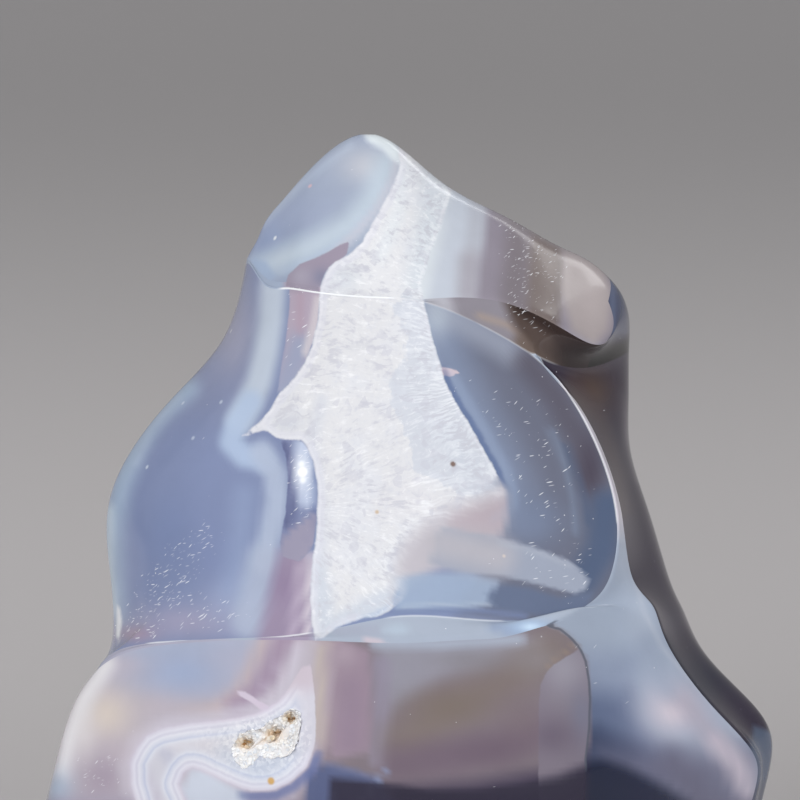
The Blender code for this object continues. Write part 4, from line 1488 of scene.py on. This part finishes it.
def clouded_ground(g, slow, cloudy):
    """The ground colour, clouded a little."""
    clouds = g.plus(g.times(cloudy, 0.10), g.times(slow, 0.16))
    clouded = g.node(
        "ShaderNodeVectorMath",
        {0: g.colour("ground_colour"), "Scale": g.plus(clouds, 0.87)},
        operation="SCALE",
    )
    colour = clouded.outputs[0]
    return colour


def with_crisp_shapes(g, colour, wobble):
    """Adds the crisp shapes, among them the lens's painted highlight and painted shade along the bottom, and
    the dark line of the curve.
    """
    crisp = g.plus(g.value("crisp_depth"), g.times(wobble, 3.0))
    colour = g.mix(g.step(crisp, -1.1, 1.1), colour, g.colour("crisp_colour"))
    side = g.plus(g.value("curve_depth"), wobble)
    curve = g.times(g.step(side, -1.9, -0.4), g.step(side, 1.9, 0.4))
    curve = g.times(curve, g.value("curve_share"))
    colour = g.mix(g.times(curve, 0.8), colour, rgba(CURVE_COLOUR))
    return colour


def with_pocket(g, colour, place, wobble):
    """Adds the pocket's pale growth bands, parallel to its outline, and the grains round the vug."""
    ring = g.plus(g.value("pocket_depth"), g.times(wobble, 2.0))
    bands = g.node("ShaderNodeValToRGB", {"Fac": g.math("DIVIDE", ring, BAND_REACH)})
    ramp = bands.color_ramp
    while len(ramp.elements) < len(POCKET_BANDS):
        ramp.elements.new(0.5)
    for element, (position, band) in zip(ramp.elements, POCKET_BANDS):
        element.position = position
        element.color = rgba(band)
    banded = g.times(g.step(ring, -5.0, 3.0), g.step(ring, 24.0, 12.0))
    banded = g.times(banded, g.value("pocket_share"))
    colour = g.mix(g.times(banded, 0.75), colour, bands.outputs["Color"])
    below = g.times(g.step(ring, -16.0, -6.0), g.step(ring, 0.5, -4.0))
    below = g.times(below, g.value("pocket_shadow"))
    colour = g.mix(g.times(below, 0.75), colour, rgba(POCKET_SHADOW_COLOUR))
    grains = g.node("ShaderNodeTexVoronoi", {"Vector": place, "Scale": 3200.0})
    grain_tone = g.node("ShaderNodeSeparateColor", {"Color": grains.outputs["Color"]}).outputs[0]
    fine = g.noise(place, 2600.0, 5.0, 0.7)
    tone = g.plus(g.times(grain_tone, 0.5), g.times(fine, 0.5))
    grainy = g.mix(g.step(tone, 0.25, 0.8), rgba(GRAIN_DARK), rgba(GRAIN_PALE))
    share = g.times(g.value("granular"), g.step(ring, 1.0, 6.0))
    colour = g.mix(g.times(share, 0.85), colour, grainy)
    return colour


def with_vein(g, colour, place, wobble, cloudy):
    """Adds the vein: quartz grains and feathery fibres that stand across it."""
    edge = g.plus(g.value("vein_depth"), g.times(wobble, 4.0))
    bend = g.noise(place, 300.0, 2.0)
    along = g.plus(g.value("vein_along"), g.times(bend, 16.0))
    fibre_place = g.node(
        "ShaderNodeCombineXYZ",
        {"X": g.times(along, 0.24), "Y": g.times(g.value("vein_across"), 4.0)},
    ).outputs[0]
    fibres = g.noise(fibre_place, 1.0, 4.0, 0.6)
    patchy = g.noise(place, 500.0, 3.0, 0.6)
    sugar = g.noise(place, 1900.0, 5.0, 0.75)
    quartz = g.colour("vein_colour")
    ragged = g.plus(g.times(wobble, 22.0), g.times(g.minus(cloudy, 0.5), 34.0))
    glassy = g.step(g.plus(g.value("glassy_depth"), ragged), -1.5, 2.5)
    quartz = g.mix(g.times(glassy, 0.85), quartz, rgba(GLASSY_COLOUR))
    broad = g.noise(place, 170.0, 3.0, 0.6)
    quartz = g.mix(g.times(g.step(broad, 0.46, 0.64), 0.35), quartz, rgba(BROAD_COLOUR))
    dull = g.times(g.step(patchy, 0.47, 0.58), g.step(fibres, 0.54, 0.40))
    quartz = g.mix(g.times(dull, 0.70), quartz, rgba(DULL_COLOUR))
    feather = g.times(g.step(patchy, 0.56, 0.40), g.step(fibres, 0.50, 0.66))
    feather = g.times(feather, g.minus(0.5, g.times(glassy, 0.2)))
    quartz = g.mix(feather, quartz, rgba(FEATHER_COLOUR))
    quartz = g.mix(g.times(g.step(sugar, 0.48, 0.32), 0.30), quartz, rgba(SUGAR_DARK))
    quartz = g.mix(g.times(g.step(sugar, 0.56, 0.72), 0.35), quartz, rgba(SUGAR_PALE))
    frost = g.times(g.step(g.value("vein_across"), 0.25, 0.8), g.step(fibres, 0.44, 0.60))
    quartz = g.mix(g.times(frost, 0.35), quartz, rgba(FROST_COLOUR))
    crystals = g.node("ShaderNodeTexVoronoi", {"Vector": place, "Scale": 1200.0})
    crystal_tone = g.node("ShaderNodeSeparateColor", {"Color": crystals.outputs["Color"]}).outputs[0]
    clear = g.times(g.step(crystal_tone, 0.75, 0.82), g.step(cloudy, 0.46, 0.56))
    quartz = g.mix(g.times(clear, 0.40), quartz, rgba(CLEAR_COLOUR))
    firm = g.minus(1.0, g.value("vein_soft"))
    rim = g.times(g.step(edge, 9.0, 6.0), g.step(g.value("vein_across"), 0.1, -0.1))
    quartz = g.mix(g.times(g.times(rim, firm), 0.35), quartz, rgba(RIM_COLOUR))
    line = g.times(g.step(edge, 0.8, 2.2), g.step(edge, 4.4, 3.0))
    quartz = g.mix(g.times(g.times(line, firm), 0.15), quartz, rgba(RIM_LINE_COLOUR))
    reach = g.plus(g.times(g.value("vein_soft"), 16.0), 1.3)
    middle = g.times(g.value("vein_soft"), 6.0)
    shown = g.step(edge, g.minus(middle, reach), g.plus(middle, reach))
    colour = g.mix(shown, colour, quartz)
    outline = g.times(g.step(edge, -8.0, -2.5), g.step(edge, 0.5, -1.5))
    outline = g.times(g.times(outline, firm), g.value("vein_outline"))
    glow = g.times(g.step(edge, -28.0, -7.0), g.step(edge, -2.0, -7.0))
    glow = g.times(g.times(glow, firm), g.value("vein_outline"))
    colour = g.mix(g.times(glow, 0.30), colour, rgba(GLOW_COLOUR))
    colour = g.mix(g.times(outline, 0.65), colour, rgba(OUTLINE_COLOUR))
    return colour


def with_wear_and_highlight(g, colour, place, marks_and_highlight):
    """Adds single marks, among them the lens's painted highlight, specks left by polishing and fine
    scratches; returns the scratches too.
    """
    for centre, radius, tint, strength, softness in marks_and_highlight:
        away = g.node("ShaderNodeVectorMath", {0: place, 1: centre}, operation="DISTANCE").outputs["Value"]
        outer = (radius + softness) * MM / VIEW_SCALE
        inner = max(0.0, radius - softness) * MM / VIEW_SCALE
        share = g.step(away, outer, inner)
        colour = g.mix(g.times(share, strength), colour, rgba(tint))
    density = g.value("specks")
    for scale, reach, share in SPECK_LAYERS:
        cells = g.node("ShaderNodeTexVoronoi", {"Vector": place, "Scale": scale})
        picked = g.node("ShaderNodeSeparateColor", {"Color": cells.outputs["Color"]})
        present = g.math("LESS_THAN", picked.outputs[0], g.times(density, share))
        size = g.times(g.plus(picked.outputs[2], 0.15), reach)
        dot = g.step(cells.outputs["Distance"], size, g.times(size, 0.5))
        dot = g.times(g.times(dot, present), g.plus(picked.outputs[1], 0.15))
        colour = g.mix(dot, colour, rgba(SPECK_COLOUR))
    scratch = None
    crowded = g.times(g.times(density, density), 0.55)
    for number, (turn, scale) in enumerate(SCRATCH_LAYERS):
        bent = g.node(
            "ShaderNodeVectorMath", {0: place, 1: (SCRATCH_SHIFT * number, 0, 0)}, operation="ADD"
        ).outputs[0]
        turned = g.node(
            "ShaderNodeVectorRotate",
            {"Vector": bent, "Axis": (0, 1, 0), "Angle": turn},
            rotation_type="AXIS_ANGLE",
        ).outputs[0]
        squeezed = g.node(
            "ShaderNodeVectorMath", {0: turned, 1: SCRATCH_STRETCH}, operation="MULTIPLY"
        ).outputs[0]
        cells = g.node("ShaderNodeTexVoronoi", {"Vector": squeezed, "Scale": scale})
        picked = g.node("ShaderNodeSeparateColor", {"Color": cells.outputs["Color"]})
        present = g.math("LESS_THAN", picked.outputs[0], crowded)
        length = g.plus(g.times(picked.outputs[1], 0.24), 0.08)
        line = g.step(cells.outputs["Distance"], length, g.times(length, 0.4))
        bright = g.plus(g.times(picked.outputs[2], 0.7), 0.3)
        line = g.times(line, g.times(present, bright))
        scratch = line if scratch is None else g.math("MAXIMUM", scratch, line)
    colour = g.mix(g.times(scratch, 0.90), colour, rgba(SCRATCH_COLOUR))
    return colour, scratch


def stone_material(marks_and_highlight):
    """Polished chalcedony: its ground, crisp shapes, pocket, vein and wear, with painted highlights,
    reflections and shade.
    """
    g = Graph("chalcedony_looks")
    place = g.node("ShaderNodeTexCoord").outputs["Object"]
    wobble = g.minus(g.noise(place, 900.0, 4.0, 0.6), 0.5)
    slow = g.noise(place, 90.0, 3.0, 0.55)
    cloudy = g.noise(place, 320.0, 4.0, 0.6)
    colour = clouded_ground(g, slow, cloudy)
    colour = with_crisp_shapes(g, colour, wobble)
    colour = with_pocket(g, colour, place, wobble)
    colour = with_vein(g, colour, place, wobble, cloudy)
    colour, scratch = with_wear_and_highlight(g, colour, place, marks_and_highlight)

    # Painted highlights on the ridges that catch the light.
    near = g.step(g.plus(g.value("ridge"), g.times(wobble, 0.06)), 0.15, 0.04)
    colour = g.mix(g.times(near, g.value("glint")), colour, rgba(GLINT_COLOUR))

    g.put(g.shader.inputs["Base Color"], colour)
    g.put(g.shader.inputs["Roughness"], g.plus(0.16, g.times(scratch, 0.3)))
    g.shader.inputs["IOR"].default_value = 1.54
    g.shader.inputs["Coat Weight"].default_value = 0.25
    g.shader.inputs["Coat Roughness"].default_value = 0.05
    bump = g.node(
        "ShaderNodeBump",
        {"Height": g.noise(place, 2500.0, 3.0), "Strength": 0.03, "Distance": 0.0002},
    )
    g.put(g.shader.inputs["Normal"], bump.outputs[0])
    return g.material


def druse_material():
    """Small quartz points, white and here and there stained brown."""
    g = Graph("drusy_looks")
    place = g.node("ShaderNodeTexCoord").outputs["Object"]
    stain = g.noise(place, 700.0, 3.0)
    colour = g.colour("crystal_colour")
    colour = g.mix(g.times(g.step(stain, 0.5, 0.75), 0.15), colour, rgba(STAIN_COLOUR))
    g.put(g.shader.inputs["Base Color"], colour)
    g.shader.inputs["Roughness"].default_value = 0.18
    g.shader.inputs["IOR"].default_value = 1.54
    g.shader.inputs["Coat Weight"].default_value = 0.3
    g.shader.inputs["Coat Roughness"].default_value = 0.08
    g.shader.inputs["Subsurface Weight"].default_value = 0.3
    g.shader.inputs["Subsurface Radius"].default_value = (0.0004, 0.00035, 0.0003)
    g.shader.inputs["Subsurface Scale"].default_value = 1.0
    return g.material


def build_stone():
    """The stone at its fine level with the vug cut in, and the vug's frame."""
    points, faces, creases, drawn = stone_cage()
    cage = cage_object("cage", points, faces, creases)
    bpy.context.scene.collection.objects.link(cage)
    fit_to_points(cage, points, drawn)
    facets = cage.data.attributes.new("facet", "INT", "FACE")
    for number, (name, is_front) in enumerate(cage_facets()):
        facets.data[number].value = FACET_NAMES.index(name) + (0 if is_front else len(FACET_NAMES))
    frame = vug_frame(cage)
    cage.modifiers["polish"].levels = FINE_LEVELS
    cutter = bowl_object("cutter", vug_rings(frame, lambda here: VUG_DEPTH, 0, VUG_STANDS_OUT), True)
    modifier = cage.modifiers.new("vug", "BOOLEAN")
    modifier.operation = "DIFFERENCE"
    modifier.solver = "EXACT"
    modifier.object = cutter
    stone = evaluated_copy(cage, "stone_polished")
    for obj in (cage, cutter):
        bpy.data.objects.remove(obj)
    return stone, frame


def hex_point(bm, base, direction, radius, length, turn):
    """A six-sided quartz point; returns its faces."""
    side = direction.orthogonal().normalized()
    over = direction.cross(side)
    rings = []
    for reach in (0.0, 0.62):
        ring = []
        for k in range(6):
            angle = turn + math.pi * k / 3
            around = side * math.cos(angle) + over * math.sin(angle)
            ring.append(bm.verts.new((base + around * radius + direction * length * reach) * MM))
        rings.append(ring)
    tip = bm.verts.new((base + direction * length) * MM)
    made = []
    for k in range(6):
        after = (k + 1) % 6
        made.append(bm.faces.new((rings[0][k], rings[0][after], rings[1][after], rings[1][k])))
        made.append(bm.faces.new((rings[1][k], rings[1][after], tip)))
    made.append(bm.faces.new(rings[0][::-1]))
    return made


def druse_stain(point):
    """How brown a point of the crust is, from 0 to 1."""
    seen = front_view(np.array([list(point)]))[0]
    return stain_at(((seen[0] - VIEW_CENTRE) / VIEW_SCALE, (GROUND_LINE - seen[1]) / VIEW_SCALE))


def close_crust(bm, shell, shell_faces, frame, depth_at, tint):
    """Closes the crust from below with an underside that shares its rim."""
    below = vug_rings(frame, lambda here: depth_at(here) + CRUST_THICKNESS, DRUSE_INSET, 0.0)[2:]
    under = [shell[0]] + [[bm.verts.new(point * MM) for point in ring] for ring in below]
    made = []
    for upper, lower in zip(under, under[1:]):
        for k in range(len(upper)):
            after = (k + 1) % len(upper)
            made.append(bm.faces.new((upper[k], upper[after], lower[after], lower[k])))
    made.append(bm.faces.new(under[-1]))
    for face in made:
        for loop in face.loops:
            loop[tint] = rgba(DRUSE_SHELL_COLOUR)
    bmesh.ops.recalc_face_normals(bm, faces=shell_faces + made)


def build_druse(frame):
    """The vug's lining: a closed crust with hundreds of small closed quartz points sunk into it."""
    rand = random.Random(VUG_SEED)

    def depth_at(here):
        """How deep the crust lies under a front-view point, in millimetres."""
        return DRUSE_DEPTH + PIT_DEPTH * stain_at(here)

    rings = vug_rings(frame, depth_at, DRUSE_INSET, 0.0)[1:]
    outward = frame[3]
    bm = bmesh.new()
    tint = bm.loops.layers.float_color.new("crystal_colour")
    shell = [[bm.verts.new(point * MM) for point in ring] for ring in rings]
    shell_faces = []
    for upper, lower in zip(shell, shell[1:]):
        for k in range(len(upper)):
            after = (k + 1) % len(upper)
            shell_faces.append(bm.faces.new((upper[k], lower[k], lower[after], upper[after])))
    shell_faces.append(bm.faces.new(shell[-1]))
    bm.normal_update()
    toward = Vector(frame[0]) * MM
    weights = []
    for face in shell_faces:
        if face.normal.dot(toward + outward * MM - face.calc_center_median()) < 0:
            face.normal_flip()
        weights.append(face.calc_area())
        for loop in face.loops:
            stained = druse_stain(loop.vert.co)
            loop[tint] = rgba([a + (b - a) * stained for a, b in zip(DRUSE_SHELL_COLOUR, DRUSE_PIT_COLOUR)])
    for face in rand.choices(shell_faces, weights=weights, k=CRYSTALS):
        corners = [v.co for v in face.verts]
        shares = [rand.random() for _ in corners]
        base = sum((c * s for c, s in zip(corners, shares)), Vector()) / sum(shares) / MM
        lean = Vector([rand.uniform(-1, 1) for _ in "xyz"]) * CRYSTAL_LEAN
        direction = (face.normal + lean).normalized()
        below = (Vector(frame[0]) - base).dot(outward)
        radius = rand.uniform(*CRYSTAL_RADIUS) * (0.6 + 0.4 * min(1.0, below / 1.2))
        length = radius * rand.uniform(*CRYSTAL_LENGTH)
        length = min(length, 0.25 + max(0.0, below) / max(0.15, direction.dot(outward)))
        made = hex_point(bm, base - direction * 0.04, direction, radius, length, rand.uniform(0, 1))
        stained = druse_stain(base * MM)
        pale = rand.choice(DRUSE_PALE)
        brown = rand.choice(DRUSE_BROWN)
        share = min(1.0, stained * rand.uniform(0.6, 1.3))
        shade = [a + (b - a) * share for a, b in zip(pale, brown)]
        for part in made:
            for loop in part.loops:
                loop[tint] = rgba(shade)
    close_crust(bm, shell, shell_faces, frame, depth_at, tint)
    mesh = bpy.data.meshes.new("vug_druse")
    bm.to_mesh(mesh)
    bm.free()
    made = bpy.data.objects.new("vug_druse", mesh)
    bpy.context.scene.collection.objects.link(made)
    return made


def keep_in_box(obj, node):
    """Holds a mesh within the box of a CAD node."""
    low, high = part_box(node)
    points = np.clip(points_of(obj.data), np.array(low), np.array(high))
    obj.data.vertices.foreach_set("co", points.astype(np.float32).ravel())
    obj.data.update()


def sweep():
    """A backdrop: a floor that curves up into a wall, painted darker up the wall as shade."""
    profile = [(-1.6, 0.0), (0.10, 0.0)]
    for k in range(1, 25):
        angle = math.pi / 2 * k / 24
        profile.append((0.10 + 0.5 * math.sin(angle), 0.5 * (1 - math.cos(angle))))
    profile.append((0.60, 2.0))
    points = [(x, y, z) for y, z in profile for x in (-2.0, 2.0)]
    faces = [(2 * k, 2 * k + 1, 2 * k + 3, 2 * k + 2) for k in range(len(profile) - 1)]
    mesh = bpy.data.meshes.new("backdrop")
    mesh.from_pydata(points, [], faces)
    for polygon in mesh.polygons:
        polygon.use_smooth = True
    made = bpy.data.objects.new("backdrop", mesh)
    bpy.context.scene.collection.objects.link(made)
    g = Graph("paper")
    place = g.node("ShaderNodeNewGeometry").outputs["Position"]
    height = g.node("ShaderNodeSeparateXYZ", {"Vector": place}).outputs["Z"]
    low = g.step(height, 0.0, 0.12)
    shade = g.mix(low, rgba(PAPER_LOW), rgba(PAPER_HIGH))
    g.put(g.shader.inputs["Base Color"], shade)
    g.shader.inputs["Roughness"].default_value = 0.9
    made.data.materials.append(g.material)


def area_light(name, place, size, power, colour, mirrored):
    """A rectangular lamp aimed at the stone; mirrored says whether the polish shows it."""
    light = bpy.data.lights.new(name, "AREA")
    light.shape = "RECTANGLE"
    light.size, light.size_y = size
    light.energy = power
    light.color = colour
    made = bpy.data.objects.new(name, light)
    made.location = place
    made.visible_glossy = mirrored
    aim = Vector(LIGHT_TARGET) - made.location
    made.rotation_euler = aim.to_track_quat("-Z", "Y").to_euler()
    bpy.context.scene.collection.objects.link(made)


def studio():
    """The room's light, the lamps and the camera."""
    world = bpy.data.worlds.new("studio")
    bpy.context.scene.world = world
    world.use_nodes = True
    world.node_tree.nodes["Background"].inputs["Color"].default_value = (1, 1, 1, 1)
    world.node_tree.nodes["Background"].inputs["Strength"].default_value = WORLD_STRENGTH
    for light in LIGHTS:
        area_light(*light)
    camera = bpy.data.cameras.new("camera")
    camera.sensor_width = SENSOR_WIDTH
    camera.lens = LENS
    made = bpy.data.objects.new("camera", camera)
    made.location = (0, -VIEW_DISTANCE * MM, VIEW_HEIGHT * MM)
    made.rotation_euler = (math.pi / 2, 0, 0)
    bpy.context.scene.collection.objects.link(made)
    bpy.context.scene.camera = made
    bpy.context.scene.view_settings.view_transform = "Standard"


def main():
    """Builds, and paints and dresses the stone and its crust."""
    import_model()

    stone, frame = build_stone()
    keep_in_box(stone, "stone")
    stone.data.polygons.foreach_set("use_smooth", [True] * len(stone.data.polygons))
    stone.data.set_sharp_from_angle(angle=math.radians(SHARP_ANGLE))
    light = facet_light(stone.data)
    paint_zones(stone.data, light)
    paint_fields(stone.data, light)
    marks_and_highlight = []
    for (px, py), radius, tint, strength, softness in MARKS_AND_HIGHLIGHT:
        across = (px - VIEW_CENTRE) / VIEW_SCALE
        up = (GROUND_LINE - py) / VIEW_SCALE
        place, _ = on_stone(stone, across, up)
        marks_and_highlight.append((tuple(place * MM), radius, tint, strength, softness))
    stone.data.materials.clear()
    stone.data.materials.append(stone_material(marks_and_highlight))

    druse = build_druse(frame)
    keep_in_box(druse, "stone")
    druse.data.materials.append(druse_material())

    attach(stone, "root")
    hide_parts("stone")
    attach(druse, "root")
    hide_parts("vug_crystals")

    sweep()
    studio()


main()
